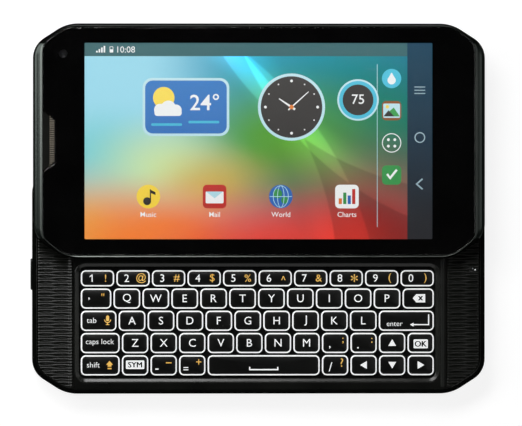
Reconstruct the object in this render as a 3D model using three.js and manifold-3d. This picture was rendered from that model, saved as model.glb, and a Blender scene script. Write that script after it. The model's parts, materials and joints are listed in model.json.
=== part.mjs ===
// A landscape slider phone, open: the touch-screen lid has slid up and bared a five-row keyboard.
// Millimetres. +X runs right along the keyboard, +Y away from the typist, and +Z up out of the screen.
// The origin is the middle of the back cover's flat face, on which the phone lies.
import * as THREE from "three";
import { mergeVertices } from "three/addons/utils/BufferGeometryUtils.js";
import Module from "manifold-3d";

const wasm = await Module();
wasm.setup();

// Driving dimensions of the whole phone
const baseLength = 126.9;
const baseDepth = 66;
const slideTravel = 37.7;
const slideGap = 0.3; // between the keyboard deck and the lid over it
const lidSetback = 0.25; // the lid's edge lies this far inside the base's
const fitGap = 0.2; // between pieces that are fitted together
const runGap = 0.3; // between pieces that move past each other

// The corners are cut off on a slant, and both ends of each slant are rounded.
const cornerLegX = 9.4;
const cornerLegY = 6.1;
const cornerSideRadius = 5.6;
const cornerEndRadius = 9;
const edgeSteps = 4; // flats in each rounding of the phone's outline
const smallSteps = 3; // flats in each corner of a small piece
const roundSides = 20;
const filletReachShare = 0.49; // the most of an edge that one rounding may take
const overrun = 1; // how far a cutting solid runs past the face that it opens

// Back cover
const coverFloor = 1;
const coverHeight = 1.5;
const coverEdgeInset = 2.2;
const coverEdgeRise = 0.5;
const coverEdgeShare = 0.36; // of the edge inset, what is left at the top of the lower slant
const seamInset = 0.12;

// Frame round the base: a band with a shelf that carries the keyboard board
const frameWall = 1.6;
const ledgeInset = 2.6;
const bandWidth = 1.3;
const bandShoulderShare = 0.62; // of the band's width, what its slanted shoulder takes
const bandDrop = 1.1;
const bandFoot = 0.6;
const bandRecess = 0.1; // the band's top lies this far below the deck
const shelfThickness = 0.5;
const shelfLap = 2.25; // how far the shelf runs on behind the keyboard board

// Battery, under the shelf
const batteryThickness = 4.1;
const batteryCorner = 2;
const batteryRoom = 0.2;
const batteryPortGap = 0.4;
const batterySpeakerGap = 3.25;

// Main board, L-shaped: behind the battery, with a leg along its right-hand end
const boardThickness = 1;
const boardRise = 1.2; // height of the bosses that carry it off the cover's floor
const boardStripDepth = 21.2; // of the strip behind the battery
const boardLegWidth = 14.55; // of the leg beside it
const boardBatteryGap = 1.5;
const boardWallGap = 1.3;
const bossRadius = 1.5;
const shieldHeight = 1.9;
const shieldLength = 34;
const shieldDepth = 13;
const shieldMargin = 3;
const cardSlotLength = 15;

// Keyboard stack, from the shelf up
const keyBoardThickness = 0.6;
const domeRoom = 0.2;
const matThickness = 0.4;
const keyRest = 0.3; // from a key's underside to the mat
const keyThickness = 0.7;
const deckThickness = 0.8;

// Keyboard plan. The block of keys lies between the grips, a little left of the middle.
const keyLeftInset = 13.6; // from the base's left end to the keys
const keyRightInset = 14.3;
const keyFrontInset = 5.12;
const keyLidGap = 3.125; // from the keys to the front edge of the open lid
const keyGap = 0.55;
const keyRowGap = 0.45;
const numberDepthShare = 0.8062; // of another row's depth, what the number row has
const letterKeyShare = 0.07626; // of a row's length, what a letter key of the second or third row takes
const quoteKeyShare = 0.08687;
const tabKeyShare = 0.10152;
const capsKeyShare = 0.11061;
const keyCorner = 1.35;
const keyBevel = 0.25;
const keyWebWidth = 1.6;
const keyWebThickness = 0.25;

// Keyboard deck
const wellMarginX = 0.37; // from the keys to the well's wall, at the two ends
const wellMarginY = 0.75; // and along the two long sides
const wellCorner = 1.8;
const wellRim = 1.25; // width of the slanted wall round the keys
const wellRimDrop = 0.65;
const matLap = 1.3; // the mat and its board reach this far under the deck
const ridgeWidth = 1.1;
const ridgeHeight = 0.15;
const ridgeGap = 0.25; // from the well's rim
const gripRidgeGap = 0.35; // from the ridge to the right-hand grip
const gripWellGap = 0.93; // from the well's rim to the left-hand grip
const ribPitch = 0.8;
const ribDepth = 0.25;
const gripMargin = 0.55;
const gripBackGap = 1; // from the last rib to the deck's back edge
const deckLap = 8.175; // how far the deck runs on under the open lid
const micPlaceShare = 0.8; // of the way across the right-hand grip
const micHoleRadius = 0.4;
const micKeyGap = 0.3; // from the line of the keys' back to the hole's middle

// Slide: T-shaped runners on the base, in slots of the lid's back plate
const runnerNeck = 1.2;
const runnerHead = 3.6;
const runnerHeadThickness = 0.8;
const runnerFrontGap = 1.075; // to the slide plate's front edge
const runnerBackGap = 0.6; // to the lid's wall, when the lid is shut

// Spring that snaps the lid open or shut, over its middle
const springPostX = 12;
const springPostInset = 3; // from the deck's back edge
const springPostRadius = 0.7;
const springPinX = 26;
const springReach = 7.6; // from the line between post and pin to the coil's middle
const springCoilRadius = 2.4;
const springWireRadius = 0.22;
const springTurns = 1; // whole turns, beside the part of one that the arms call for
const springHookRadius = 1.3;
const springHookShare = 0.7; // of a turn, how far a hook runs round its post
const springArcStep = Math.PI / 5;
const springWireSides = 6;
const springSteps = 72;
const springFloat = 0.15; // from the plates to the wire

// Ribbon cable between the halves, with a rolling bend
const flexX = -18;
const flexWidth = 6;
const flexThickness = 0.16;
const flexInset = 5; // from the deck, or the battery's room, to where it comes through the slide plate
const flexLowerRun = 5.9;
const flexUpperRun = 18.9;
const flexArcSteps = 6;

// Lid, from its back plate up
const lidWall = 1.6;
const lidLedge = 3;
const lidFoot = 0.35;
const lidPlateThickness = 0.8;
const mechanismRoom = 1.7;
const lidShelfThickness = 0.4;
const displayThickness = 1.6;
const displayEdgeY = 3.675; // from the lid's outline to the panel, along the two long sides
const displayCorner = 0.8;
const displayRoomEdge = 4.6; // from the lid's outline to the room that holds the panel, at the two ends
const displayRoomGap = 0.7;
const displayEndRoom = 8.1; // left at each end of the panel, for the earpiece and the camera
const glassThickness = 0.9;
const glassEdgeX = 2.8; // from the lid's outline to the glass, at the two ends
const glassEdgeY = 1.15; // and along the two long sides
const glassLegX = 6.5;
const glassLegY = 4.4;
const glassSideRadius = 4.2;
const glassEndRadius = 7;
const glassBevel = 0.22;
const rimHeight = 0.55; // of the lid's rim over the glass's underside
const rimShoulderShare = 0.2;
const rimShoulderDrop = 1.1;

// Earpiece, in a notch in the glass
const earNotchInner = 14.6;
const earNotchOutset = 1.1; // how much longer each end is at the glass's edge
const earNotchDepth = 3.4;
const earNotchCorner = 0.5;
const earGrilleThickness = 0.5;
const earMeshWidth = 1.5;
const earMeshMargin = 0.3;
const earMeshPitch = 0.8;
const earMeshGap = 0.4;
const earSpeakerLength = 14;
const earSpeakerDepth = 5.5;
const earSpeakerThickness = 1.4;

// Front camera
const frontCameraGap = 1; // to the end of the display's room
const frontCameraInset = 5.6; // from the side of that room to the lens
const frontCameraSide = 5.6;
const frontCameraHeight = 1.3;
const frontLensRadius = 1.35;
const frontLensHeight = 0.2;

// Rear camera and its bezel
const rearCameraInsetX = 16.45; // from the base's left end
const rearCameraInsetY = 16; // from its back
const rearCameraSide = 8.5;
const rearCameraHeight = 4.4;
const rearLensRadius = 3.2;
const rearLensRecess = 0.35;
const bezelRadius = 5.4;
const bezelWidth = 1.9;
const flashOffset = 11.5;
const flashRadius = 1.7;
const flashThickness = 1.3;

// Loudspeaker
const speakerInset = 9.95; // from the base's left end to the middle
const speakerLength = 13.5;
const speakerBoardGap = 3;
const speakerJackGap = 2.8;
const speakerThickness = 3.8;
const speakerCorner = 2;
const speakerSlots = 6;
const speakerSlotWidth = 0.8;
const speakerSlotShare = 0.42105; // of the loudspeaker's depth, what its slots have
const speakerSlotPitch = 1.7;

// Sockets
const jackInset = 14; // from the base's front
const jackLength = 14;
const jackWidth = 5.4;
const jackHeight = 4.4;
const jackFloorGap = 0.3;
const jackBore = 1.75;
const jackBoreDepth = 12.5;
const portWall = 0.3;
const portFloat = 0.25; // between a socket's opening and the window in the band
const usbInset = 43.45; // from the base's right end
const usbWidth = 7.6;
const usbHeight = 2.5;
const usbDepth = 5.2;
const usbTongue = 0.6;
const hdmiInset = 29.45;
const hdmiWidth = 6.6;
const hdmiHeight = 2.9;
const hdmiDepth = 5.8;
const hdmiTongue = 0.7;

// Side buttons: a cap through a window in the band, with a flange behind the band
const buttonHeight = 2.4;
const buttonProud = 0.45;
const buttonZ = 3.5;
const flangeThickness = 0.6;
const flangeLap = 0.6; // how far the flange spreads behind the band
const powerInset = 32.55; // from the base's back
const powerLength = 8.8;
const volumeInset = 33.45; // from the base's left end
const volumeLength = 18;
const cameraKeyInset = 25.45; // from the base's right end
const cameraKeyLength = 9;
const buttonCorner = 0.9;

// Heights, worked out from the stack
const shelfLow = coverFloor + batteryThickness + batteryRoom;
const shelfTop = shelfLow + shelfThickness;
const matLow = shelfTop + keyBoardThickness + domeRoom;
const keyLow = matLow + matThickness + keyRest;
const deckTop = keyLow + keyThickness;
const deckLow = deckTop - deckThickness;
const lidLow = deckTop + slideGap;
const plateTop = lidLow + lidPlateThickness;
const lidShelfLow = plateTop + mechanismRoom;
const displayLow = lidShelfLow + lidShelfThickness;
const glassLow = displayLow + displayThickness;
const glassTop = glassLow + glassThickness;
const rimTop = glassLow + rimHeight;
const boardLow = coverFloor + boardRise;
const boardTop = boardLow + boardThickness;

// Finishes
const softBlack = new THREE.MeshStandardMaterial({ color: 0x17181a, roughness: 0.75, metalness: 0 });
const satinBlack = new THREE.MeshStandardMaterial({ color: 0x1b1c1a, roughness: 0.5, metalness: 0 });
const rimMetal = new THREE.MeshStandardMaterial({ color: 0x2a2d2c, roughness: 0.35, metalness: 0.5 });
const keyBlack = new THREE.MeshStandardMaterial({ color: 0x101110, roughness: 0.4, metalness: 0 });
const matRubber = new THREE.MeshStandardMaterial({ color: 0x060606, roughness: 0.8, metalness: 0 });
const steel = new THREE.MeshStandardMaterial({ color: 0x8d9092, roughness: 0.35, metalness: 0.9 });
const blackGlass = new THREE.MeshStandardMaterial({ color: 0x050505, roughness: 0.08, metalness: 0 });
const screenBlue = new THREE.MeshStandardMaterial({ color: 0x2c9fc0, roughness: 0.3, metalness: 0 });
const meshBronze = new THREE.MeshStandardMaterial({ color: 0x6a645a, roughness: 0.45, metalness: 0.7 });
const boardGreen = new THREE.MeshStandardMaterial({ color: 0x1f4a33, roughness: 0.6, metalness: 0 });
const cellSilver = new THREE.MeshStandardMaterial({ color: 0xa4a6a8, roughness: 0.5, metalness: 0.4 });
const amberFilm = new THREE.MeshStandardMaterial({ color: 0xb06a1c, roughness: 0.5, metalness: 0 });
const clearLens = new THREE.MeshStandardMaterial({ color: 0xe8e4c8, roughness: 0.15, metalness: 0 });

// A geometry as a solid that can be cut and joined
function solidOf(geometry) {
  const bare = geometry.clone();
  bare.deleteAttribute("normal");
  bare.deleteAttribute("uv");
  const merged = mergeVertices(bare);
  const vertProperties = merged.getAttribute("position").array;
  const triVerts = new Uint32Array(merged.index.array);
  return new wasm.Manifold(new wasm.Mesh({ numProp: 3, vertProperties, triVerts }));
}

// A cut and joined solid as a geometry
function geometryOf(solid) {
  const { vertProperties, triVerts } = solid.getMesh();
  const geometry = new THREE.BufferGeometry();
  geometry.setAttribute("position", new THREE.BufferAttribute(vertProperties, 3));
  geometry.setIndex(new THREE.BufferAttribute(triVerts, 1));
  geometry.computeVertexNormals();
  return geometry;
}

const cut = (solid, ...tools) => tools.reduce((left, tool) => left.subtract(tool), solid);
const join = (...solids) => solids.reduce((whole, solid) => whole.add(solid));

// A block between two values on each axis
function block([x0, x1], [y0, y1], [z0, z1]) {
  const geometry = new THREE.BoxGeometry(x1 - x0, y1 - y0, z1 - z0);
  return solidOf(geometry.translate((x0 + x1) / 2, (y0 + y1) / 2, (z0 + z1) / 2));
}

// A block on a square, given by its middle and its side
function squareBlock(x, y, side, z0, z1) {
  const half = side / 2;
  return block([x - half, x + half], [y - half, y + half], [z0, z1]);
}

// An upright round post
function post(x, y, radius, z0, z1) {
  const geometry = new THREE.CylinderGeometry(radius, radius, z1 - z0, roundSides);
  return solidOf(geometry.rotateX(Math.PI / 2).translate(x, y, (z0 + z1) / 2));
}

// The points of a closed outline whose corners, given anticlockwise as {x, y, r}, are rounded
function roundedOutline(corners, steps) {
  return corners.flatMap((corner, i) => {
    const here = new THREE.Vector2(corner.x, corner.y);
    const before = corners[(i + corners.length - 1) % corners.length];
    const after = corners[(i + 1) % corners.length];
    const back = new THREE.Vector2(before.x, before.y).sub(here);
    const on = new THREE.Vector2(after.x, after.y).sub(here);
    const turn = Math.PI - Math.acos(back.dot(on) / (back.length() * on.length()));
    const most = filletReachShare * Math.min(back.length(), on.length());
    const reach = Math.min(corner.r * Math.tan(turn / 2), most);
    const radius = reach / Math.tan(turn / 2);
    const start = here.clone().addScaledVector(back.normalize(), reach);
    const inward = back.clone().add(on.normalize()).normalize();
    const centre = here.clone().addScaledVector(inward, radius / Math.cos(turn / 2));
    const spoke = start.sub(centre);
    return Array.from({ length: steps + 1 }, (_, k) => {
      const swung = spoke.clone().rotateAround(new THREE.Vector2(), (turn * k) / steps);
      return swung.add(centre);
    });
  });
}

// A rectangle with rounded corners, given by its middle and its sides
function roundedRectangle(x, y, width, depth, r, steps = smallSteps) {
  const [halfX, halfY] = [width / 2, depth / 2];
  const corners = [
    { x: x + halfX, y: y + halfY, r },
    { x: x - halfX, y: y + halfY, r },
    { x: x - halfX, y: y - halfY, r },
    { x: x + halfX, y: y - halfY, r },
  ];
  return roundedOutline(corners, steps);
}

// A prism that stands on an outline
function prism(outline, z0, z1) {
  const options = { depth: z1 - z0, bevelEnabled: false };
  return solidOf(new THREE.ExtrudeGeometry(new THREE.Shape(outline), options).translate(0, 0, z0));
}

// A solid through outlines of equally many points, from the lowest to the highest
function loft(levels) {
  const count = levels[0].outline.length;
  const positions = levels.flatMap(({ z, outline }) => outline.flatMap((p) => [p.x, p.y, z]));
  const faces = [];
  for (let level = 0; level + 1 < levels.length; level++) {
    for (let i = 0; i < count; i++) {
      const [a, b] = [level * count + i, level * count + ((i + 1) % count)];
      faces.push(a, b, b + count, a, b + count, a + count);
    }
  }
  const top = (levels.length - 1) * count;
  const floor = THREE.ShapeUtils.triangulateShape(levels[0].outline, []);
  const roof = THREE.ShapeUtils.triangulateShape(levels.at(-1).outline, []);
  floor.forEach(([a, b, c]) => faces.push(c, b, a));
  roof.forEach(([a, b, c]) => faces.push(top + a, top + b, top + c));
  const geometry = new THREE.BufferGeometry();
  geometry.setAttribute("position", new THREE.Float32BufferAttribute(positions, 3));
  geometry.setIndex(faces);
  return solidOf(geometry);
}

// The phone's outline, as half lengths, the legs of the slanted corners and their roundings
const baseEdge = {
  halfX: baseLength / 2,
  halfY: baseDepth / 2,
  legX: cornerLegX,
  legY: cornerLegY,
  side: cornerSideRadius,
  end: cornerEndRadius,
};
const lidEdge = {
  ...baseEdge,
  halfX: baseLength / 2 - lidSetback,
  halfY: baseDepth / 2 - lidSetback / 2,
};
const glassEdge = {
  halfX: lidEdge.halfX - glassEdgeX,
  halfY: lidEdge.halfY - glassEdgeY,
  legX: glassLegX,
  legY: glassLegY,
  side: glassSideRadius,
  end: glassEndRadius,
};

// Places that follow from the two outlines
const lidFrontY = slideTravel - lidEdge.halfY; // the front edge of the open lid
const deckEdgeY = lidFrontY + deckLap;
const rearCameraX = rearCameraInsetX - baseLength / 2;
const rearCameraY = baseDepth / 2 - rearCameraInsetY;
const speakerX = speakerInset - baseLength / 2;
const jackY = jackInset - baseDepth / 2;
const powerY = baseDepth / 2 - powerInset;
const volumeX = volumeInset - baseLength / 2;
const cameraKeyX = baseLength / 2 - cameraKeyInset;
const displayRoomLength = 2 * (lidEdge.halfX - displayRoomEdge);
const displayLength = displayRoomLength - 2 * displayEndRoom;
const displayDepth = 2 * (lidEdge.halfY - displayEdgeY);
const displayRoomDepth = displayDepth + 2 * displayRoomGap;
const usb = {
  x: baseLength / 2 - usbInset,
  width: usbWidth,
  height: usbHeight,
  depth: usbDepth,
  tongue: usbTongue,
};
const hdmi = {
  x: baseLength / 2 - hdmiInset,
  width: hdmiWidth,
  height: hdmiHeight,
  depth: hdmiDepth,
  tongue: hdmiTongue,
};

// The same outline moved in, on every side and slant alike
function inset(edge, distance) {
  const slant = Math.hypot(edge.legX, edge.legY);
  const [nx, ny] = [edge.legY / slant, edge.legX / slant];
  const spread = nx + ny - 1;
  return {
    halfX: edge.halfX - distance,
    halfY: edge.halfY - distance,
    legX: edge.legX - (distance * spread) / nx,
    legY: edge.legY - (distance * spread) / ny,
    side: Math.max(edge.side - distance, edge.side * filletReachShare),
    end: Math.max(edge.end - distance, edge.end * filletReachShare),
  };
}

// An outline part of the way from one to another
function between(from, to, share) {
  const mixed = Object.keys(from).map((key) => [key, THREE.MathUtils.lerp(from[key], to[key], share)]);
  return Object.fromEntries(mixed);
}

// The points of such an outline, anticlockwise from the right-hand side
function edgeOutline({ halfX, halfY, legX, legY, side, end }) {
  const corners = [
    { x: halfX, y: halfY - legY, r: side },
    { x: halfX - legX, y: halfY, r: end },
    { x: legX - halfX, y: halfY, r: end },
    { x: -halfX, y: halfY - legY, r: side },
    { x: -halfX, y: legY - halfY, r: side },
    { x: legX - halfX, y: -halfY, r: end },
    { x: halfX - legX, y: -halfY, r: end },
    { x: halfX, y: legY - halfY, r: side },
  ];
  return roundedOutline(corners, edgeSteps);
}

const edgePrism = (edge, z0, z1) => prism(edgeOutline(edge), z0, z1);
const edgeLoft = (levels) => loft(levels.map(({ z, edge }) => ({ z, outline: edgeOutline(edge) })));

// The keys, row by row from the back: each name, with its width, and the group that it is moulded with
const numberCount = 10;
const topLetters = "qwertyuiop";
const homeLetters = "asdfghjkl";
const narrowCount = 11; // keys beside caps lock in the fourth row
const besideSpaceCount = 7; // keys of that width in the last row
const keyBlockLength = baseLength - keyLeftInset - keyRightInset;
const keyBlockX = (keyLeftInset - keyRightInset) / 2;
const letterKeyWidth = keyBlockLength * letterKeyShare;
const quoteKeyWidth = keyBlockLength * quoteKeyShare;
const tabKeyWidth = keyBlockLength * tabKeyShare;
const capsKeyWidth = keyBlockLength * capsKeyShare;
const leftOver = (width, count, other) => keyBlockLength - width - count * other - (count + 1) * keyGap;
const numberKeyWidth = (keyBlockLength - (numberCount - 1) * keyGap) / numberCount;
const backspaceWidth = leftOver(quoteKeyWidth, topLetters.length, letterKeyWidth);
const enterWidth = leftOver(tabKeyWidth, homeLetters.length, letterKeyWidth);
const narrowKeyWidth = (keyBlockLength - capsKeyWidth - narrowCount * keyGap) / narrowCount;
const spaceWidth = leftOver(capsKeyWidth, besideSpaceCount, narrowKeyWidth);
const letters = (text, width) => [...text].map((letter) => ({ name: `key_${letter}`, width }));
const grouped = (group, width, ...names) => names.map((name) => ({ name, group, width }));
const keyRows = [
  grouped("number_keys", numberKeyWidth, ..."1234567890"),
  [
    ...grouped("left_function_keys", quoteKeyWidth, "quote"),
    ...letters(topLetters, letterKeyWidth),
    { name: "key_backspace", width: backspaceWidth },
  ],
  [
    ...grouped("left_function_keys", tabKeyWidth, "tab"),
    ...letters(homeLetters, letterKeyWidth),
    { name: "key_enter", width: enterWidth },
  ],
  [
    ...grouped("left_function_keys", capsKeyWidth, "caps_lock"),
    ...letters("zxcvbnm", narrowKeyWidth),
    ...grouped("arrow_and_mark_keys", narrowKeyWidth, "comma", "period", "up", "ok"),
  ],
  [
    ...grouped("left_function_keys", capsKeyWidth, "shift"),
    ...grouped("symbol_keys", narrowKeyWidth, "symbol", "minus", "equals"),
    { name: "key_space", width: spaceWidth },
    ...grouped("arrow_and_mark_keys", narrowKeyWidth, "slash", "left", "down", "right"),
  ],
];

// Webs that hold the keys of a group together, each from one key to another
const keyWebs = {
  number_keys: [["1", "0"]],
  left_function_keys: [["quote", "shift"]],
  symbol_keys: [["symbol", "equals"]],
  arrow_and_mark_keys: [["comma", "ok"], ["comma", "slash"], ["slash", "right"]],
};

const keyBlockTopY = lidFrontY - keyLidGap;
const keyBlockDepth = keyBlockTopY + baseDepth / 2 - keyFrontInset;
const laterRows = keyRows.length - 1;
const letterKeyDepth = (keyBlockDepth - laterRows * keyRowGap) / (laterRows + numberDepthShare);
const numberKeyDepth = letterKeyDepth * numberDepthShare;

// Where each key lies
function placedKeys() {
  let top = keyBlockTopY;
  return keyRows.flatMap((row, rowIndex) => {
    const depth = rowIndex === 0 ? numberKeyDepth : letterKeyDepth;
    const y = top - depth / 2;
    let left = keyBlockX - keyBlockLength / 2;
    top -= depth + keyRowGap;
    return row.map((key) => {
      const x = left + key.width / 2;
      left += key.width + keyGap;
      return { ...key, x, y, depth };
    });
  });
}
const keys = placedKeys();
const keyBlockY = keyBlockTopY - keyBlockDepth / 2;
const well = {
  x: keyBlockX,
  y: keyBlockY,
  width: keyBlockLength + 2 * wellMarginX,
  depth: keyBlockDepth + 2 * wellMarginY,
};

// One key cap, with a slanted edge round its top
function keyCap({ x, y, width, depth }) {
  const outline = roundedRectangle(x, y, width, depth, keyCorner);
  const top = roundedRectangle(x, y, width - 2 * keyBevel, depth - 2 * keyBevel, keyCorner - keyBevel);
  return loft([
    { z: keyLow, outline },
    { z: deckTop - keyBevel, outline },
    { z: deckTop, outline: top },
  ]);
}

// A flat web under the caps, from one key's middle to another's, along X or Y
function keyWeb(from, to) {
  const half = keyWebWidth / 2;
  const spanX = from.y === to.y ? [from.x, to.x] : [from.x - half, from.x + half];
  const spanY = from.y === to.y ? [from.y - half, from.y + half] : [to.y, from.y].sort((a, b) => a - b);
  return block(spanX, spanY, [keyLow, keyLow + keyWebThickness]);
}

// The keys that press as one, by node name: single keys, and groups on their webs
function keyNodes() {
  const nodes = new Map();
  for (const key of keys) {
    const node = key.group ?? key.name;
    nodes.set(node, nodes.has(node) ? nodes.get(node).add(keyCap(key)) : keyCap(key));
  }
  const named = (name) => keys.find((key) => key.name === name);
  for (const [group, webs] of Object.entries(keyWebs)) {
    const bars = webs.map(([from, to]) => keyWeb(named(from), named(to)));
    nodes.set(group, join(nodes.get(group), ...bars));
  }
  return nodes;
}

// Back cover: a shallow tray with slanted edges, open at the camera, the flash and the loudspeaker
function rearCover() {
  const shell = edgeLoft([
    { z: 0, edge: inset(baseEdge, coverEdgeInset) },
    { z: coverEdgeRise, edge: inset(baseEdge, coverEdgeInset * coverEdgeShare) },
    { z: coverHeight, edge: inset(baseEdge, seamInset) },
  ]);
  const room = edgePrism(inset(baseEdge, frameWall), coverFloor, coverHeight + overrun);
  const cameraHole = post(rearCameraX, rearCameraY, bezelRadius + fitGap, -overrun, coverFloor + overrun);
  const flashX = rearCameraX + flashOffset;
  const flashHole = post(flashX, rearCameraY, flashRadius + fitGap, -overrun, coverFloor + overrun);
  const [front, back] = speakerSpan();
  const halfLength = ((back - front) / 2) * speakerSlotShare;
  const spanY = [(front + back) / 2 - halfLength, (front + back) / 2 + halfLength];
  const slots = Array.from({ length: speakerSlots }, (_, i) => {
    const x = speakerX + (i - (speakerSlots - 1) / 2) * speakerSlotPitch;
    const halfWidth = speakerSlotWidth / 2;
    return block([x - halfWidth, x + halfWidth], spanY, [-overrun, coverFloor + overrun]);
  });
  const bosses = boardBosses().map(([x, y]) => post(x, y, bossRadius, coverFloor / 2, boardLow));
  return join(cut(shell, room, cameraHole, flashHole, ...slots), ...bosses);
}

// Plan of the main board: the strip behind the battery, and the leg at its right-hand end
function boardPlan() {
  const endX = baseLength / 2 - frameWall - boardWallGap;
  const backY = baseDepth / 2 - frameWall - runGap - flangeThickness - 2 * runGap - fitGap;
  const stripY = backY - boardStripDepth;
  const strip = { x: [cornerLegX / 2 - endX, endX - cornerLegX / 2], y: [stripY, backY] };
  const leg = {
    x: [endX - boardLegWidth, endX],
    y: [frameWall + boardWallGap + cornerLegY - baseDepth / 2, stripY + bossRadius],
  };
  return { strip, leg };
}

// Middles of the bosses that hold the main board: inside the strip's corners and the leg's end
function boardBosses() {
  const { strip, leg } = boardPlan();
  const inward = bossRadius + fitGap;
  const [left, right] = [strip.x[0] + inward, strip.x[1] - inward];
  const [front, back] = [strip.y[0] + inward, strip.y[1] - inward];
  return [
    [left, front],
    [left, back],
    [right, back],
    [leg.x[0] + inward, leg.y[0] + inward],
  ];
}

// Main board, notched round the camera, with two shield cans and the card slot on it
function mainBoard() {
  const { strip, leg } = boardPlan();
  const notch = rearCameraSide / 2 + runGap;
  const plate = join(
    block(strip.x, strip.y, [boardLow, boardTop]),
    block(leg.x, leg.y, [boardLow, boardTop]),
  );
  const cameraNotch = block(
    [rearCameraX - notch, rearCameraX + notch],
    [rearCameraY - notch, strip.y[1] + overrun],
    [boardLow - overrun, boardTop + overrun],
  );
  const onBoard = [boardTop - boardThickness / 2, boardTop + shieldHeight];
  const canY = [strip.y[0] + shieldMargin, strip.y[0] + shieldMargin + shieldDepth];
  const cans = [flexX + flexWidth, strip.x[1] - shieldMargin - shieldLength].map((left) =>
    block([left, left + shieldLength], canY, onBoard),
  );
  const cardX = [leg.x[0] + fitGap, leg.x[1] - fitGap];
  const cardY = [leg.y[1] - shieldMargin - cardSlotLength, leg.y[1] - shieldMargin];
  return join(cut(plate, cameraNotch), ...cans, block(cardX, cardY, onBoard));
}

// An upright rounded bar through the band, facing the front: a side button's cap, or its window
function sideButton(length, growth, reachIn, reachOut) {
  const face = roundedRectangle(0, 0, length + 2 * growth, buttonHeight + 2 * growth, buttonCorner + growth);
  return prism(face, -reachIn, reachOut).rotate([90, 0, 0]).translate([0, 0, buttonZ]);
}

// A side button: the cap, and the flange behind the band that keeps it in
function pushButton(length) {
  const inner = frameWall + runGap + flangeThickness;
  const cap = sideButton(length, 0, inner - flangeThickness / 2, buttonProud);
  const flangeHalf = length / 2 + flangeLap;
  const flangeTall = buttonHeight / 2 + flangeLap / 2;
  const flange = block(
    [-flangeHalf, flangeHalf],
    [inner - flangeThickness, inner],
    [buttonZ - flangeTall, buttonZ + flangeTall],
  );
  return join(cap, flange);
}

// Places on the base's edge, as a turn from the front and a place along that side
const toBack = (solid, x) => solid.rotate([0, 0, 180]).translate([x, baseDepth / 2, 0]);
const toLeft = (solid, y) => solid.rotate([0, 0, -90]).translate([-baseLength / 2, y, 0]);
const buttonWindow = (length) => sideButton(length, runGap, frameWall + overrun, overrun);

// Frame: the band round the base, the ledge for the deck and the shelf for the keyboard
function baseFrame() {
  const shoulder = inset(baseEdge, bandWidth * bandShoulderShare);
  const shell = edgeLoft([
    { z: coverHeight, edge: inset(baseEdge, seamInset) },
    { z: coverHeight + bandFoot, edge: baseEdge },
    { z: deckTop - bandDrop, edge: baseEdge },
    { z: deckTop - bandRecess, edge: shoulder },
  ]);
  const lowerRoom = edgePrism(inset(baseEdge, frameWall), coverHeight - overrun, shelfLow);
  const upperRoom = edgePrism(inset(baseEdge, ledgeInset), shelfTop, deckTop);
  const deckSeat = edgePrism(inset(baseEdge, bandWidth), deckLow, deckTop + overrun);
  const behindShelf = edgePrism(inset(baseEdge, ledgeInset), shelfLow - overrun, shelfTop + overrun);
  const shelfEdgeY = keyBlockTopY + wellMarginY + matLap + shelfLap;
  const behind = block([-baseLength, baseLength], [shelfEdgeY, baseDepth], [0, deckTop]);
  return cut(
    shell,
    lowerRoom,
    upperRoom,
    deckSeat,
    behindShelf.intersect(behind),
    toBack(buttonWindow(volumeLength), volumeX),
    toBack(buttonWindow(cameraKeyLength), cameraKeyX),
    toLeft(buttonWindow(powerLength), powerY),
    jackTool(jackBore + fitGap, overrun),
    jackPocket(),
    portWindow(usb),
    portWindow(hdmi),
  );
}

const jackZ = coverFloor + jackFloorGap + jackHeight / 2;

// A round tool along the headset socket, of a given radius, running out past the band
function jackTool(radius, out) {
  const length = frameWall + fitGap + jackBoreDepth + out;
  const geometry = new THREE.CylinderGeometry(radius, radius, length, roundSides).rotateZ(Math.PI / 2);
  return solidOf(geometry.translate(-baseLength / 2 - out + length / 2, jackY, jackZ));
}

// Room for the headset socket, which reaches up into the shelf
function jackPocket() {
  const left = -baseLength / 2 + frameWall;
  const half = jackWidth / 2 + fitGap;
  const top = coverFloor + jackFloorGap + jackHeight + fitGap / 2;
  return block([left, left + jackLength + 2 * fitGap], [jackY - half, jackY + half], [coverHeight, top]);
}

function headsetJack() {
  const left = -baseLength / 2 + frameWall + fitGap;
  const half = jackWidth / 2;
  const low = coverFloor + jackFloorGap;
  const body = block([left, left + jackLength], [jackY - half, jackY + half], [low, low + jackHeight]);
  return cut(body, jackTool(jackBore, overrun));
}

// The window in the band in front of a socket
function portWindow({ x, width, height }) {
  const half = width / 2 - portWall + portFloat;
  const low = shelfLow - height + portWall - portFloat;
  return block([x - half, x + half], [-baseDepth / 2 - overrun, frameWall - baseDepth / 2], [low, shelfLow]);
}

// A socket under the shelf: a steel shell, open to the front, with its tongue
function portShell({ x, width, height, depth, tongue }) {
  const front = frameWall + fitGap - baseDepth / 2;
  const half = width / 2;
  const [low, top] = [shelfLow - height, shelfLow];
  const shell = block([x - half, x + half], [front, front + depth], [low, top]);
  const mouth = block(
    [x - half + portWall, x + half - portWall],
    [front - overrun, front + depth - portWall],
    [low + portWall, top - portWall],
  );
  const middle = (low + top) / 2;
  const tongueHalf = half - 3 * portWall;
  const blade = block(
    [x - tongueHalf, x + tongueHalf],
    [front + 2 * portWall, front + depth - portWall / 2],
    [middle - tongue / 2, middle + tongue / 2],
  );
  return join(cut(shell, mouth), blade);
}

// The deck: grips ribbed across at both ends, a ridge right of the keys, and the well that the keys stand in
function keyboardDeck() {
  const edge = inset(baseEdge, bandWidth + fitGap);
  const front = block([-baseLength, baseLength], [-baseDepth, deckEdgeY], [deckLow, deckTop]);
  const plate = edgePrism(edge, deckLow, deckTop).intersect(front);
  const micX = THREE.MathUtils.lerp(gripInner(1), edge.halfX, micPlaceShare);
  const micY = keyBlockTopY + micKeyGap;
  const micHole = post(micX, micY, micHoleRadius, deckLow - overrun, deckTop + overrun);
  const grooves = [-1, 1].map((side) => gripGrooves(side));
  return cut(join(cut(plate, wellCut(), ...grooves), ridge()), micHole);
}

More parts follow.
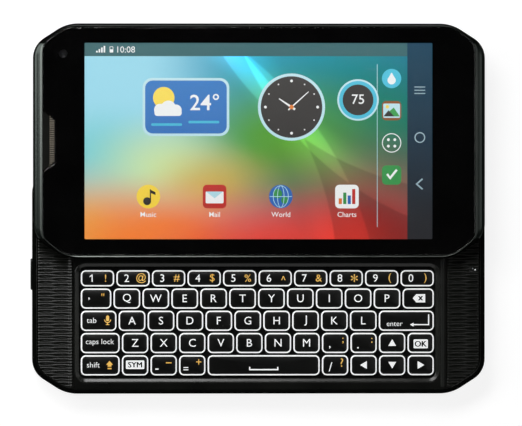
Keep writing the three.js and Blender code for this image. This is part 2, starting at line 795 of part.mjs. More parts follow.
// The well's outline, grown on every side
function wellOutline(growth) {
  const [width, depth] = [well.width + 2 * growth, well.depth + 2 * growth];
  return roundedRectangle(well.x, well.y, width, depth, wellCorner + growth);
}

// The well's cut, wider at the top
function wellCut() {
  const hole = wellOutline(0);
  const mouth = wellOutline(wellRim);
  return loft([
    { z: deckLow - overrun, outline: hole },
    { z: deckTop - wellRimDrop, outline: hole },
    { z: deckTop, outline: mouth },
    { z: deckTop + overrun, outline: mouth },
  ]);
}

// How far from the phone's middle a grip starts, on the left (-1) or the right (1)
function gripInner(side) {
  const rim = well.width / 2 + wellRim + side * well.x;
  return rim + (side > 0 ? ridgeGap + ridgeWidth + gripRidgeGap : gripWellGap);
}

// A low rounded bar right of the keys
function ridge() {
  const front = bandWidth + fitGap + ridgeGap - baseDepth / 2;
  const x = well.x + well.width / 2 + wellRim + ridgeGap + ridgeWidth / 2;
  const y = (front + deckEdgeY) / 2;
  const low = roundedRectangle(x, y, ridgeWidth, deckEdgeY - front, ridgeWidth / 2);
  const top = roundedRectangle(x, y, ridgeWidth / 2, deckEdgeY - front - ridgeWidth / 2, ridgeWidth / 4);
  return loft([
    { z: deckTop - deckThickness / 2, outline: low },
    { z: deckTop, outline: low },
    { z: deckTop + ridgeHeight, outline: top },
  ]);
}

// Grooves across a grip, as one comb of a zigzag section, kept inside the deck's edge
function gripGrooves(side) {
  const edge = inset(baseEdge, bandWidth + fitGap + gripMargin);
  const gripTopY = deckEdgeY - gripBackGap;
  const count = Math.floor((gripTopY + edge.halfY) / ribPitch);
  const teeth = Array.from({ length: count }, (_, i) => {
    const y = gripTopY - i * ribPitch;
    return [new THREE.Vector2(y, 0), new THREE.Vector2(y - ribPitch / 2, -ribDepth)];
  }).flat();
  const last = gripTopY - count * ribPitch;
  const outline = [...teeth, new THREE.Vector2(last, 0), new THREE.Vector2(last, overrun)];
  outline.push(new THREE.Vector2(gripTopY, overrun));
  const [inner, outer] = [gripInner(side), edge.halfX];
  const options = { depth: outer - inner, bevelEnabled: false };
  const comb = new THREE.ExtrudeGeometry(new THREE.Shape(outline), options);
  comb.rotateX(Math.PI / 2).rotateZ(Math.PI / 2);
  const left = side > 0 ? inner : -outer;
  const placed = solidOf(comb.translate(left, 0, deckTop));
  return placed.intersect(edgePrism(edge, deckLow, deckTop + overrun));
}

// The rubber mat under the keys, and the board with their switches under that
const underKeys = (z0, z1) => prism(wellOutline(matLap), z0, z1);

const runnerX = lidEdge.halfX - lidLedge - cornerLegX - runnerHead / 2;
const runnerBack = lidEdge.halfY - lidLedge - runnerBackGap;
const runnerSpan = [deckEdgeY + fitGap + runnerFrontGap, runnerBack];
const headLow = plateTop + runGap;
const springPostY = deckEdgeY + springPostInset;
const flexY = Math.max(deckEdgeY, boardPlan().strip.y[0]) + flexInset;
const springPostTop = (plateTop + lidShelfLow) / 2;

// Slide plate: the back of the deck in steel, with the T-shaped runners and the spring's post
function slidePlate() {
  const rear = block([-baseLength, baseLength], [deckEdgeY + fitGap, baseDepth], [deckLow, deckTop]);
  const plate = edgePrism(inset(baseEdge, bandWidth + fitGap), deckLow, deckTop).intersect(rear);
  const root = deckTop - deckThickness / 2;
  const headTop = headLow + runnerHeadThickness;
  const runners = [-runnerX, runnerX].flatMap((x) => [
    block([x - runnerNeck / 2, x + runnerNeck / 2], runnerSpan, [root, headTop]),
    block([x - runnerHead / 2, x + runnerHead / 2], runnerSpan, [headLow, headTop]),
  ]);
  const springPost = post(springPostX, springPostY, springPostRadius, root, springPostTop);
  const flexSlot = block(
    [flexX - flexWidth / 2 - fitGap, flexX + flexWidth / 2 + fitGap],
    [flexY - flexThickness - fitGap, flexY + flexThickness + fitGap],
    [deckLow - overrun, deckTop + overrun],
  );
  return join(cut(plate, flexSlot), ...runners, springPost);
}

// The spring lies between the lid's plate and shelf: its arms leave the coil on two levels.
const springLow = plateTop + springFloat + springWireRadius;
const springHigh = lidShelfLow - springFloat - springWireRadius;
const springPinY = springPostY + slideTravel / 2;

// Where the coil's middle lies: off to one side of the line from the post to the pin
function springCoilCentre() {
  const line = new THREE.Vector2(springPinX - springPostX, springPinY - springPostY);
  const middle = new THREE.Vector2(springPostX, springPostY).addScaledVector(line, 1 / 2);
  const aside = new THREE.Vector2(line.y, -line.x).normalize();
  return middle.addScaledVector(aside, springReach);
}

// The spring's wire, all one way round: a hook on the post, an arm, the coil, an arm, a hook on the pin
function slideSpring() {
  const coil = springCoilCentre();
  const post = new THREE.Vector2(springPostX, springPostY);
  const pin = new THREE.Vector2(springPinX, springPinY);
  const onto = tangentAngle(post, springHookRadius, coil, springCoilRadius);
  const off = tangentAngle(coil, springCoilRadius, pin, springHookRadius);
  const whole = 2 * Math.PI;
  const sweep = ((off - onto + 2 * whole) % whole) + whole * springTurns;
  const hook = whole * springHookShare;
  const points = [
    ...wireArc(post, springHookRadius, [onto - hook, onto], [springLow, springLow]),
    ...wireArc(coil, springCoilRadius, [onto, onto + sweep], [springLow, springHigh]),
    ...wireArc(pin, springHookRadius, [off, off + hook], [springHigh, springHigh]),
  ];
  const extrudePath = new THREE.CatmullRomCurve3(points, false, "centripetal");
  const options = { steps: springSteps, bevelEnabled: false, extrudePath };
  return solidOf(new THREE.ExtrudeGeometry(new THREE.Shape(wireSection()), options));
}

// Where an outer tangent leaves one circle and meets the next, when the wire runs anticlockwise round both
function tangentAngle(from, fromRadius, to, toRadius) {
  const span = to.clone().sub(from);
  return span.angle() - Math.acos((fromRadius - toRadius) / span.length());
}

// Points round part of a circle, with the height running evenly from one end to the other
function wireArc(centre, radius, [start, end], [z0, z1]) {
  const count = Math.ceil((end - start) / springArcStep);
  return Array.from({ length: count + 1 }, (_, i) => {
    const angle = THREE.MathUtils.lerp(start, end, i / count);
    const z = THREE.MathUtils.lerp(z0, z1, i / count);
    return new THREE.Vector3(centre.x + Math.cos(angle) * radius, centre.y + Math.sin(angle) * radius, z);
  });
}

function wireSection() {
  return Array.from({ length: springWireSides }, (_, i) => {
    const angle = (2 * Math.PI * i) / springWireSides;
    return new THREE.Vector2(Math.cos(angle), Math.sin(angle)).multiplyScalar(springWireRadius);
  });
}

// The ribbon cable: up from the main board through the slide plate, forward, round its bend and back
function flexCable() {
  const lowZ = plateTop + runGap;
  const highZ = lidShelfLow - runGap;
  const bend = (highZ - lowZ) / 2;
  const rise = Math.min(runGap, bend);
  const bendY = flexY - flexLowerRun;
  const line = [
    new THREE.Vector2(flexY, boardTop + fitGap),
    ...flexArc(flexY - rise, lowZ - rise, rise, 0, Math.PI / 2),
    ...flexArc(bendY, lowZ + bend, bend, -Math.PI / 2, -Math.PI),
    new THREE.Vector2(bendY + flexUpperRun, highZ),
  ];
  const options = { depth: flexWidth, bevelEnabled: false };
  const ribbon = new THREE.ExtrudeGeometry(new THREE.Shape(thickened(line, flexThickness)), options);
  ribbon.rotateX(Math.PI / 2).rotateZ(Math.PI / 2);
  return solidOf(ribbon.translate(flexX - flexWidth / 2, 0, 0));
}

// Points round an arc of the ribbon's side view, from one angle through a turn
function flexArc(y, z, radius, start, turn) {
  return Array.from({ length: flexArcSteps + 1 }, (_, i) => {
    const angle = start + (turn * i) / flexArcSteps;
    return new THREE.Vector2(y + radius * Math.cos(angle), z + radius * Math.sin(angle));
  });
}

// A line given a thickness, half on each side
function thickened(line, thickness) {
  const sides = [1, -1].map((side) =>
    line.map((point, i) => {
      const before = line[Math.max(i - 1, 0)];
      const after = line[Math.min(i + 1, line.length - 1)];
      const along = after.clone().sub(before).normalize();
      return new THREE.Vector2(-along.y, along.x).multiplyScalar((side * thickness) / 2).add(point);
    }),
  );
  return [...sides[0], ...sides[1].reverse()];
}

// A slot in the lid's back plate that a piece of the base runs along, from open to shut
function runSlot(x, halfWidth, [y0, y1]) {
  return block(
    [x - halfWidth - runGap, x + halfWidth + runGap],
    [y0 - slideTravel - runGap, y1 + runGap],
    [lidLow - overrun, plateTop + overrun],
  );
}

// The lid's back plate, in the lid's own place, slotted for the runners, the spring's post and the ribbon
function lidBackPlate() {
  const plate = edgePrism(inset(lidEdge, lidWall + fitGap), lidLow, plateTop);
  const postSpan = [springPostY - springPostRadius, springPostY + springPostRadius];
  return cut(
    plate,
    runSlot(-runnerX, runnerNeck / 2, runnerSpan),
    runSlot(runnerX, runnerNeck / 2, runnerSpan),
    runSlot(springPostX, springPostRadius, postSpan),
    runSlot(flexX, flexWidth / 2, [flexY - flexThickness, flexY + flexThickness]),
  );
}

// The lid's frame: its walls and slanted rim, the ledges for plate and glass, and the shelf between
function lidFrame() {
  const shell = edgeLoft([
    { z: lidLow, edge: inset(lidEdge, lidFoot) },
    { z: lidLow + lidFoot, edge: lidEdge },
    { z: glassLow - rimShoulderDrop, edge: lidEdge },
    { z: glassLow, edge: between(lidEdge, glassEdge, rimShoulderShare) },
    { z: rimTop, edge: inset(glassEdge, -2 * fitGap) },
  ]);
  const plateSeat = edgePrism(inset(lidEdge, lidWall), lidLow - overrun, plateTop);
  const mechanism = edgePrism(inset(lidEdge, lidLedge), lidLow, lidShelfLow);
  const room = roundedRectangle(0, 0, displayRoomLength, displayRoomDepth, displayCorner);
  const displayRoom = prism(room, displayLow, glassTop);
  const glassSeat = edgePrism(inset(glassEdge, -fitGap), glassLow, glassTop + overrun);
  const pinRoot = lidShelfLow + lidShelfThickness / 2;
  const pin = post(springPinX, springPinY - slideTravel, springPostRadius, springPostTop, pinRoot);
  return join(cut(shell, plateSeat, mechanism, displayRoom, glassSeat), pin);
}

// The earpiece notch in the glass's left end: a trapezium, made smaller all round or run out past the edge
function earNotch(smaller, out) {
  const slopeShare = earNotchOutset / earNotchDepth;
  const left = -glassEdge.halfX - out;
  const right = earNotchDepth - smaller - glassEdge.halfX;
  const outer = earNotchInner / 2 + earNotchOutset - smaller + out * slopeShare;
  const inner = earNotchInner / 2 - smaller;
  const corners = [
    { x: left, y: outer, r: 0 },
    { x: left, y: -outer, r: 0 },
    { x: right, y: -inner, r: earNotchCorner },
    { x: right, y: inner, r: earNotchCorner },
  ];
  return roundedOutline(corners, smallSteps);
}

function coverGlass() {
  const outer = edgeLoft([
    { z: glassLow, edge: glassEdge },
    { z: glassTop - glassBevel, edge: glassEdge },
    { z: glassTop, edge: inset(glassEdge, glassBevel) },
  ]);
  return cut(outer, prism(earNotch(0, overrun), glassLow - overrun, glassTop + overrun));
}

// The earpiece's cover: a plate in the notch, with a row of fine slots
function earpieceGrille() {
  const plate = prism(earNotch(fitGap, 0), glassLow, glassLow + earGrilleThickness);
  const count = Math.floor((earNotchInner - 2 * earMeshMargin) / earMeshPitch);
  const right = earNotchDepth - fitGap - earMeshMargin - glassEdge.halfX;
  const slots = Array.from({ length: count }, (_, i) => {
    const y = (i - (count - 1) / 2) * earMeshPitch;
    const half = earMeshGap / 2;
    const through = [glassLow - overrun, glassLow + overrun];
    return block([right - earMeshWidth, right], [y - half, y + half], through);
  });
  return cut(plate, ...slots);
}

function earpieceSpeaker() {
  const x = runGap + (earSpeakerDepth - displayRoomLength) / 2;
  const outline = roundedRectangle(x, 0, earSpeakerDepth, earSpeakerLength, displayCorner);
  return prism(outline, displayLow, displayLow + earSpeakerThickness);
}

function frontCamera() {
  const x = frontCameraGap + (frontCameraSide - displayRoomLength) / 2;
  const y = displayRoomDepth / 2 - frontCameraInset;
  const top = displayLow + frontCameraHeight;
  const body = squareBlock(x, y, frontCameraSide, displayLow, top);
  return join(body, post(x, y, frontLensRadius, displayLow, top + frontLensHeight));
}

function displayPanel() {
  return prism(roundedRectangle(0, 0, displayLength, displayDepth, displayCorner), displayLow, glassLow);
}

// The battery fills what the loudspeaker, the sockets and the main board leave
function battery() {
  const { strip, leg } = boardPlan();
  const left = speakerX + speakerLength / 2 + batterySpeakerGap;
  const right = leg.x[0] - boardBatteryGap;
  const deepest = Math.max(usb.depth, hdmi.depth);
  const front = frameWall + fitGap + deepest + batteryPortGap - baseDepth / 2;
  const back = strip.y[0] - boardBatteryGap;
  const [x, y] = [(left + right) / 2, (front + back) / 2];
  const outline = roundedRectangle(x, y, right - left, back - front, batteryCorner);
  return prism(outline, coverFloor, coverFloor + batteryThickness);
}

function rearCamera() {
  const top = coverFloor + rearCameraHeight;
  const body = squareBlock(rearCameraX, rearCameraY, rearCameraSide, coverFloor, top);
  return join(body, post(rearCameraX, rearCameraY, rearLensRadius, rearLensRecess, top));
}

// The ring round the rear camera's lens
function cameraBezel() {
  const inner = bezelRadius - bezelWidth;
  const profile = [
    [inner, 0],
    [bezelRadius - seamInset, 0],
    [bezelRadius, seamInset],
    [bezelRadius, coverFloor],
    [inner, coverFloor],
    [inner, 0],
  ].map(([r, z]) => new THREE.Vector2(r, z));
  const ring = new THREE.LatheGeometry(profile, 2 * roundSides).rotateX(Math.PI / 2);
  return solidOf(ring.translate(rearCameraX, rearCameraY, 0));
}

function flashLens() {
  return post(rearCameraX + flashOffset, rearCameraY, flashRadius, 0, flashThickness);
}

// The loudspeaker lies between the headset socket and the main board
function speakerSpan() {
  const { strip } = boardPlan();
  return [jackY + jackWidth / 2 + speakerJackGap, strip.y[0] - speakerBoardGap];
}

function loudspeaker() {
  const [front, back] = speakerSpan();
  const outline = roundedRectangle(speakerX, (front + back) / 2, speakerLength, back - front, speakerCorner);
  return prism(outline, coverFloor, coverFloor + speakerThickness);
}

// One named piece in a group
function add(group, name, solid, material) {
  const mesh = new THREE.Mesh(geometryOf(solid), material);
  mesh.name = name;
  group.add(mesh);
}

// Pieces in the base
const base = new THREE.Group();
add(base, "rear_cover", rearCover(), softBlack);
add(base, "base_frame", baseFrame(), satinBlack);
add(base, "keyboard_deck", keyboardDeck(), satinBlack);
add(base, "slide_plate", slidePlate(), steel);
add(base, "key_mat", underKeys(matLow, matLow + matThickness), matRubber);
add(base, "keyboard_board", underKeys(shelfTop, shelfTop + keyBoardThickness), boardGreen);
add(base, "battery", battery(), cellSilver);
add(base, "main_board", mainBoard(), boardGreen);
add(base, "rear_camera", rearCamera(), blackGlass);
add(base, "camera_bezel", cameraBezel(), steel);
add(base, "flash_lens", flashLens(), clearLens);
add(base, "loudspeaker", loudspeaker(), satinBlack);
add(base, "headset_jack", headsetJack(), satinBlack);
add(base, "micro_usb_port", portShell(usb), steel);
add(base, "micro_hdmi_port", portShell(hdmi), steel);
add(base, "flex_cable", flexCable(), amberFilm);
add(base, "power_button", toLeft(pushButton(powerLength), powerY), rimMetal);
add(base, "volume_rocker", toBack(pushButton(volumeLength), volumeX), rimMetal);
add(base, "camera_button", toBack(pushButton(cameraKeyLength), cameraKeyX), rimMetal);
for (const [name, solid] of keyNodes()) add(base, name, solid, keyBlack);

// Pieces in the lid, which is drawn over the base and slid to its open place
const lid = new THREE.Group();
lid.position.y = slideTravel;
add(lid, "lid_frame", lidFrame(), rimMetal);
add(lid, "lid_back_plate", lidBackPlate(), steel);
add(lid, "display_panel", displayPanel(), screenBlue);
add(lid, "cover_glass", coverGlass(), blackGlass);
add(lid, "earpiece_grille", earpieceGrille(), meshBronze);
add(lid, "earpiece_speaker", earpieceSpeaker(), satinBlack);
add(lid, "front_camera", frontCamera(), blackGlass);

const phone = new THREE.Group();
phone.add(base, lid);
add(phone, "slide_spring", slideSpring(), steel);

export default phone;
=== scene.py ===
# %% [markdown]
# # A slider phone with its keyboard out
# This notebook dresses a phone whose lid slides up and bares a keyboard of five rows. The solid pieces,
# their sizes and their joints come ready made from the frame that is loaded first. What is added here is
# what a camera sees: soft edges, key legends, ribbed grips, glass, a lit picture, and finishes. Every
# length below is in millimetres, because a phone is a small thing, and is turned into metres at the end.

import json
import math

import bmesh
import bpy
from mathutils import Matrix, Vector


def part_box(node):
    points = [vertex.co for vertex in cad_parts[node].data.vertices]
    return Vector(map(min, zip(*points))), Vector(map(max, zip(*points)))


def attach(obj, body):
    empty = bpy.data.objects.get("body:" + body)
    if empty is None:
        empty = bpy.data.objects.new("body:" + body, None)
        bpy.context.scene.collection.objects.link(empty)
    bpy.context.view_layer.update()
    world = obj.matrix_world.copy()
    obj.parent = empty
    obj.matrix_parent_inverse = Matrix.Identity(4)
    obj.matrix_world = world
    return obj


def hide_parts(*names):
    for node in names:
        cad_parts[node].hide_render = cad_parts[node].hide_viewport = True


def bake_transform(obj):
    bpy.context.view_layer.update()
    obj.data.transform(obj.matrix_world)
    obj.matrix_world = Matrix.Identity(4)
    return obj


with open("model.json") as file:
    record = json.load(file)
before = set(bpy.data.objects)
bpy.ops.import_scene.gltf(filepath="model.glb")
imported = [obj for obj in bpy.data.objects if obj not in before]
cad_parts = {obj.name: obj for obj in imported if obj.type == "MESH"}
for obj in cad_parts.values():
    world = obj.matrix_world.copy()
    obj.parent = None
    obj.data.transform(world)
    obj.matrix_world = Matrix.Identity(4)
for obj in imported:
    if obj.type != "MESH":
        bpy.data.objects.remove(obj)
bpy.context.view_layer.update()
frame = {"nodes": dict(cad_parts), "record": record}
MM = 0.001

# %% [markdown]
# ## Sizes from the frame
# A piece that replaces a solid has to lie where that solid lies, so its numbers are read from the frame's
# boxes. Only what a box can't tell, such as how far the corners are cut off, is written down as a value of
# its own.

# %% Boxes in millimetres


def box(node):
    low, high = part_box(node)
    return [v / MM for v in low], [v / MM for v in high]


def middle(node):
    low, high = box(node)
    return [(a + b) / 2 for a, b in zip(low, high)]


def body_of(node):
    """The moving body of the frame that a node belongs to."""
    bodies = frame["record"]["behaviour"]["bodies"]
    return [body for body, nodes in bodies.items() if node in nodes][0]


lid_y = middle("lid_frame")[1]
deck_low, deck_high = box("keyboard_deck")
deck_bottom, deck_edge_y = deck_low[2], deck_high[1]
key_low, key_high = box("key_q")
# The ribs of the grips rise above the deck's face, so its height is read from a key, which ends level with
# it.
deck_top = key_high[2]
glass_low, glass_high = box("cover_glass")
lid_low, lid_high = box("lid_frame")
print("deck top", round(deck_top, 2), "glass", round(glass_low[2], 2), "to", round(glass_high[2], 2))

# %% [markdown]
# ## The phone's outline
# Seen from above, the phone is a rectangle whose corners are cut off on a slant, with both ends of each
# slant rounded. One outline, moved in or out, draws the band, the deck, the lid and the glass, so that
# their edges run side by side. Each outline has equally many points, which is what makes it easy to stretch
# a skin from one to the next.

# %% Rounded outlines


def rounded(corners, steps=8):
    """The points of a closed outline, anticlockwise, from corners given as (x, y, radius)."""
    points = []
    for i, (x, y, radius) in enumerate(corners):
        here = Vector((x, y))
        back = Vector(corners[i - 1][:2]) - here
        on = Vector(corners[(i + 1) % len(corners)][:2]) - here
        turn = math.pi - back.angle(on)
        reach = min(radius * math.tan(turn / 2), 0.49 * min(back.length, on.length))
        radius = reach / math.tan(turn / 2)
        start = here + back.normalized() * reach
        inward = (back.normalized() + on.normalized()).normalized()
        centre = here + inward * radius / math.cos(turn / 2)
        spoke = start - centre
        way = 1 if on.cross(back) > 0 else -1
        for k in range(steps + 1):
            angle = way * turn * k / steps
            c, s = math.cos(angle), math.sin(angle)
            points.append((centre.x + c * spoke.x - s * spoke.y, centre.y + s * spoke.x + c * spoke.y))
    return points


def rectangle(x, y, width, depth, radius, steps=6):
    a, b = width / 2, depth / 2
    corners = ((a, b), (-a, b), (-a, -b), (a, -b))
    return rounded([(x + dx, y + dy, radius) for dx, dy in corners], steps)


def ellipse(x, y, across, up, count):
    turns = [2 * math.pi * i / count for i in range(count)]
    return [(x + across * math.cos(t), y + up * math.sin(t)) for t in turns]


def circle(x, y, radius, count=32):
    return ellipse(x, y, radius, radius, count)


print("points of a rounded rectangle", len(rectangle(0, 0, 2, 1, 0.2)))

# %% [markdown]
# An edge is kept as six numbers: two half lengths, the two legs of the slanted corner, and the two
# roundings. Moving it in by a distance moves each side and each slant in alike, which takes a little off
# the legs as well.

# %% Edges, moved in and mixed


def edge_of(node, legs, radii):
    low, high = box(node)
    half = [(b - a) / 2 for a, b in zip(low, high)]
    return {"half": half[:2], "legs": legs, "radii": radii}


def inset(edge, distance):
    leg_x, leg_y = edge["legs"]
    slant = math.hypot(leg_x, leg_y)
    nx, ny = leg_y / slant, leg_x / slant
    spread = nx + ny - 1
    return {
        "half": [h - distance for h in edge["half"]],
        "legs": [leg_x - distance * spread / nx, leg_y - distance * spread / ny],
        "radii": [max(r - distance, r * 0.49) for r in edge["radii"]],
    }


def between(a, b, share_x, share_y):
    def mix(key):
        return [p + (q - p) * s for p, q, s in zip(a[key], b[key], (share_x, share_y))]

    return {"half": mix("half"), "legs": mix("legs"), "radii": mix("radii")}


def outline(edge, steps=8, notch=()):
    (hx, hy), (lx, ly), (side, end) = edge["half"], edge["legs"], edge["radii"]
    corners = [(hx, hy - ly, side), (hx - lx, hy, end), (lx - hx, hy, end), (-hx, hy - ly, side)]
    corners += list(notch)
    corners += [(-hx, ly - hy, side), (lx - hx, -hy, end), (hx - lx, -hy, end), (hx, ly - hy, side)]
    return rounded(corners, steps)


base_edge = edge_of("base_frame", [9.4, 6.1], [6.6, 11.0])
lid_edge = edge_of("lid_frame", [9.4, 6.1], [6.6, 11.0])
glass_edge = edge_of("cover_glass", [6.5, 4.4], [4.2, 7.0])
print("base half", base_edge["half"], "glass half", glass_edge["half"])

# %% [markdown]
# ## From outlines to solids
# A part is three lists: points, faces, and for each face the number of its finish. `loft` stretches a skin
# through outlines at rising heights, and closes it either with end faces or into a ring. `flat` fills
# outlines that may have holes, and gives the sheet a thickness and a soft edge. A curve object does the
# filling.

# %% Lofts


def loft(levels, marks=0, ring=False):
    count, rows = len(levels[0][0]), len(levels)
    points = [(x, y, z) for line, z in levels for x, y in line]
    faces, finish = [], []
    for row in range(rows if ring else rows - 1):
        a, b = row * count, (row + 1) % rows * count
        mark = marks[row] if isinstance(marks, list) else marks
        for i in range(count):
            j = (i + 1) % count
            faces.append((a + i, a + j, b + j, b + i))
            finish.append(mark)
    if not ring:
        last = marks[-1] if isinstance(marks, list) else marks
        faces += [tuple(reversed(range(count))), tuple(range((rows - 1) * count, rows * count))]
        finish += [marks[0] if isinstance(marks, list) else marks, last]
    return points, faces, finish


def part_of(thing, mark=0, move=(0, 0, 0)):
    """The mesh that Blender makes of an object, as a part."""
    bpy.context.scene.collection.objects.link(thing)
    mesh = thing.evaluated_get(bpy.context.evaluated_depsgraph_get()).to_mesh()
    points = [tuple(v.co + Vector(move)) for v in mesh.vertices]
    faces = [tuple(p.vertices) for p in mesh.polygons]
    finish = [p.material_index if mark is None else mark for p in mesh.polygons]
    bpy.data.objects.remove(thing)
    return points, faces, finish


def flat(outlines, low, high, mark=0, soft=0.0):
    curve = bpy.data.curves.new("outline", "CURVE")
    curve.dimensions, curve.fill_mode = "2D", "BOTH"
    curve.extrude = (high - low) / 2 - soft
    curve.bevel_depth, curve.bevel_resolution, curve.offset = soft, 2, -soft
    for line in outlines:
        spline = curve.splines.new("POLY")
        spline.points.add(len(line) - 1)
        for point, (x, y) in zip(spline.points, line):
            point.co = (x, y, 0, 1)
        spline.use_cyclic_u = True
    return part_of(bpy.data.objects.new("outline", curve), mark, (0, 0, (low + high) / 2))


def moved(part, x=0.0, y=0.0, z=0.0):
    points, faces, finish = part
    return [(a + x, b + y, c + z) for a, b, c in points], faces, finish


def upright(line, low, high, mark=0):
    """An outline pulled straight up between two heights."""
    return loft([(line, low), (line, high)], mark)


print("faces of an upright of four sides", len(upright([(0, 0), (1, 0), (1, 1), (0, 1)], 0, 1)[1]))

# %% [markdown]
# Lettering comes from the font that is built into Blender, turned into thin raised plates, as a printed
# legend is. A capital H tells how tall the font draws a capital, so that a legend's height can be asked for
# in millimetres.

# %% Words as plates


def text_part(body, size, low, high, mark, weight=0.0):
    curve = bpy.data.curves.new("word", "FONT")
    curve.body, curve.size, curve.extrude = body, size, (high - low) / 2
    curve.offset, curve.resolution_u = weight, 3
    return part_of(bpy.data.objects.new("word", curve), mark, (0, 0, (low + high) / 2))


def span(part):
    xs, ys = [p[0] for p in part[0]], [p[1] for p in part[0]]
    return min(xs), max(xs), min(ys), max(ys)


capital = span(text_part("H", 10, 0, 1, 0))
capital_share = (capital[3] - capital[2]) / 10
print("a capital takes", round(capital_share, 3), "of the font's size")


def word(body, height, x, y, low, high, mark, weight=0.0):
    part = text_part(body, height / capital_share, low, high, mark, weight)
    x0, x1, y0, y1 = span(part)
    return moved(part, x - (x0 + x1) / 2, y - (y0 + y1) / 2)


# %% [markdown]
# Some forms are easiest to cut. `carve` takes shapes out of a part with the Boolean modifier, while all is
# still large.

# %% Carving


def turn_outward(mesh):
    """Lets all faces of a mesh look outward."""
    work = bmesh.new()
    work.from_mesh(mesh)
    bmesh.ops.recalc_face_normals(work, faces=work.faces)
    work.to_mesh(mesh)
    work.free()


def plain_object(part):
    mesh = bpy.data.meshes.new("work")
    mesh.from_pydata(part[0], [], part[1])
    for _ in range(max(part[2]) + 1):
        mesh.materials.append(None)
    mesh.polygons.foreach_set("material_index", part[2])
    turn_outward(mesh)
    return bpy.data.objects.new("work", mesh)


def carve(part, *tools):
    target = plain_object(part)
    cutters = [plain_object(tool) for tool in tools]
    for cutter in cutters:
        bpy.context.scene.collection.objects.link(cutter)
        step = target.modifiers.new("cut", "BOOLEAN")
        step.object, step.operation, step.solver = cutter, "DIFFERENCE", "EXACT"
    done = part_of(target, None)
    for cutter in cutters:
        bpy.data.objects.remove(cutter)
    return done


trial = carve(upright(circle(0, 0, 2, 8), 0, 1), upright(circle(0, 0, 1, 8), -1, 2))
print("faces of a disc with a hole carved in it", len(trial[1]))

# %% [markdown]
# ## Making a piece
# `piece` joins parts into one mesh in metres, gives it its finishes, and lets it ride on its body of the
# frame. A piece that crosses a joint rides on no body and stays where it lies. Shading is smooth, but
# breaks at edges sharper than an angle. A weighted normal step keeps broad flats truly flat.

# %% Pieces


def piece(name, parts, finishes, body, replaces=(), sharp=40, flats=True):
    points, faces, marks = [], [], []
    for more_points, more_faces, more_marks in parts:
        start = len(points)
        points += [(x * MM, y * MM, z * MM) for x, y, z in more_points]
        faces += [tuple(start + i for i in face) for face in more_faces]
        marks += more_marks
    mesh = bpy.data.meshes.new(name)
    mesh.from_pydata(points, [], faces)
    for finish in finishes:
        mesh.materials.append(finish)
    mesh.polygons.foreach_set("material_index", marks)
    turn_outward(mesh)
    mesh.shade_smooth()
    mesh.set_sharp_from_angle(angle=math.radians(sharp))
    thing = bpy.data.objects.new(name, mesh)
    bpy.context.scene.collection.objects.link(thing)
    if flats:
        step = thing.modifiers.new("flats", "WEIGHTED_NORMAL")
        step.keep_sharp = True
    if isinstance(body, str):
        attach(thing, body)
    else:
        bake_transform(thing)
    if replaces:
        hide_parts(*replaces)


print("solids of the frame that wait for a finish", len(frame["nodes"]))

# %% [markdown]
# ## Finishes
# The phone is nearly all black, so what tells its materials apart is how they catch light: grain, gloss and
# worn edges. Each of these effects is a node group that is built once and given other values in each
# material.

# %% A helper for node groups


def new_group(name, inputs, outputs):
    tree = bpy.data.node_groups.new(name, "ShaderNodeTree")
    for label, value in inputs.items():
        socket = tree.interface.new_socket(name=label, in_out="INPUT", socket_type="NodeSocketFloat")
        socket.default_value = value
    for label in outputs:
        tree.interface.new_socket(name=label, in_out="OUTPUT", socket_type="NodeSocketFloat")
    return tree, tree.nodes.new("NodeGroupInput"), tree.nodes.new("NodeGroupOutput")


def maths(tree, how, a, b, clamp=False):
    node = tree.nodes.new("ShaderNodeMath")
    node.operation, node.use_clamp = how, clamp
    for socket, value in zip(node.inputs, (a, b)):
        if isinstance(value, (int, float)):
            socket.default_value = value
        else:
            tree.links.new(value, socket)
    return node.outputs[0]


def noise(tree, vector, scale, detail=2.0):
    node = tree.nodes.new("ShaderNodeTexNoise")
    node.inputs["Detail"].default_value = detail
    tree.links.new(vector, node.inputs["Vector"])
    if isinstance(scale, (int, float)):
        node.inputs["Scale"].default_value = scale
    else:
        tree.links.new(scale, node.inputs["Scale"])
    return node.outputs[0]


def ramp(tree, value, low, high, to_low=0.0, to_high=1.0):
    node = tree.nodes.new("ShaderNodeMapRange")
    for label, number in zip(("From Min", "From Max", "To Min", "To Max"), (low, high, to_low, to_high)):
        node.inputs[label].default_value = number
    tree.links.new(value, node.inputs["Value"])
    return node.outputs[0]


print("node groups so far", len(bpy.data.node_groups))

# %% [markdown]
# Moulded plastic has a grain: fine bumps from the mould, and a slow mottle that makes some areas a little
# duller. The bumps go out as a height and the mottle as a mask, so each material decides what the mottle
# does to its colour.

# %% Moulded grain
grain, given, out = new_group("moulded_grain", {"Per metre": 6000.0}, ["Height", "Mottle"])
place = grain.nodes.new("ShaderNodeTexCoord").outputs["Object"]
grain.links.new(noise(grain, place, given.outputs["Per metre"], 3.0), out.inputs["Height"])
slow = noise(grain, place, 90.0, 4.0)
grain.links.new(ramp(grain, slow, 0.35, 0.65), out.inputs["Mottle"])
print("group", grain.name)

# %% [markdown]
# Handled edges lose their paint or get polished. Cycles knows where a mesh bulges, through its pointiness.
# A broken noise keeps the wear from running along an edge like a drawn line.

# %% Worn edges
worn, given, out = new_group("edge_wear", {"Amount": 0.5}, ["Wear"])
place = worn.nodes.new("ShaderNodeTexCoord").outputs["Object"]
bulge = ramp(worn, worn.nodes.new("ShaderNodeNewGeometry").outputs["Pointiness"], 0.515, 0.6)
broken = ramp(worn, noise(worn, place, 500.0, 5.0), 0.4, 0.62)
rubbed = maths(worn, "MULTIPLY", maths(worn, "MULTIPLY", bulge, broken), given.outputs["Amount"], True)
worn.links.new(rubbed, out.inputs["Wear"])
print("group", worn.name)

# %% [markdown]
# Glass and gloss show finger marks only as a change of gloss: wide soft smears with finer streaks in them.

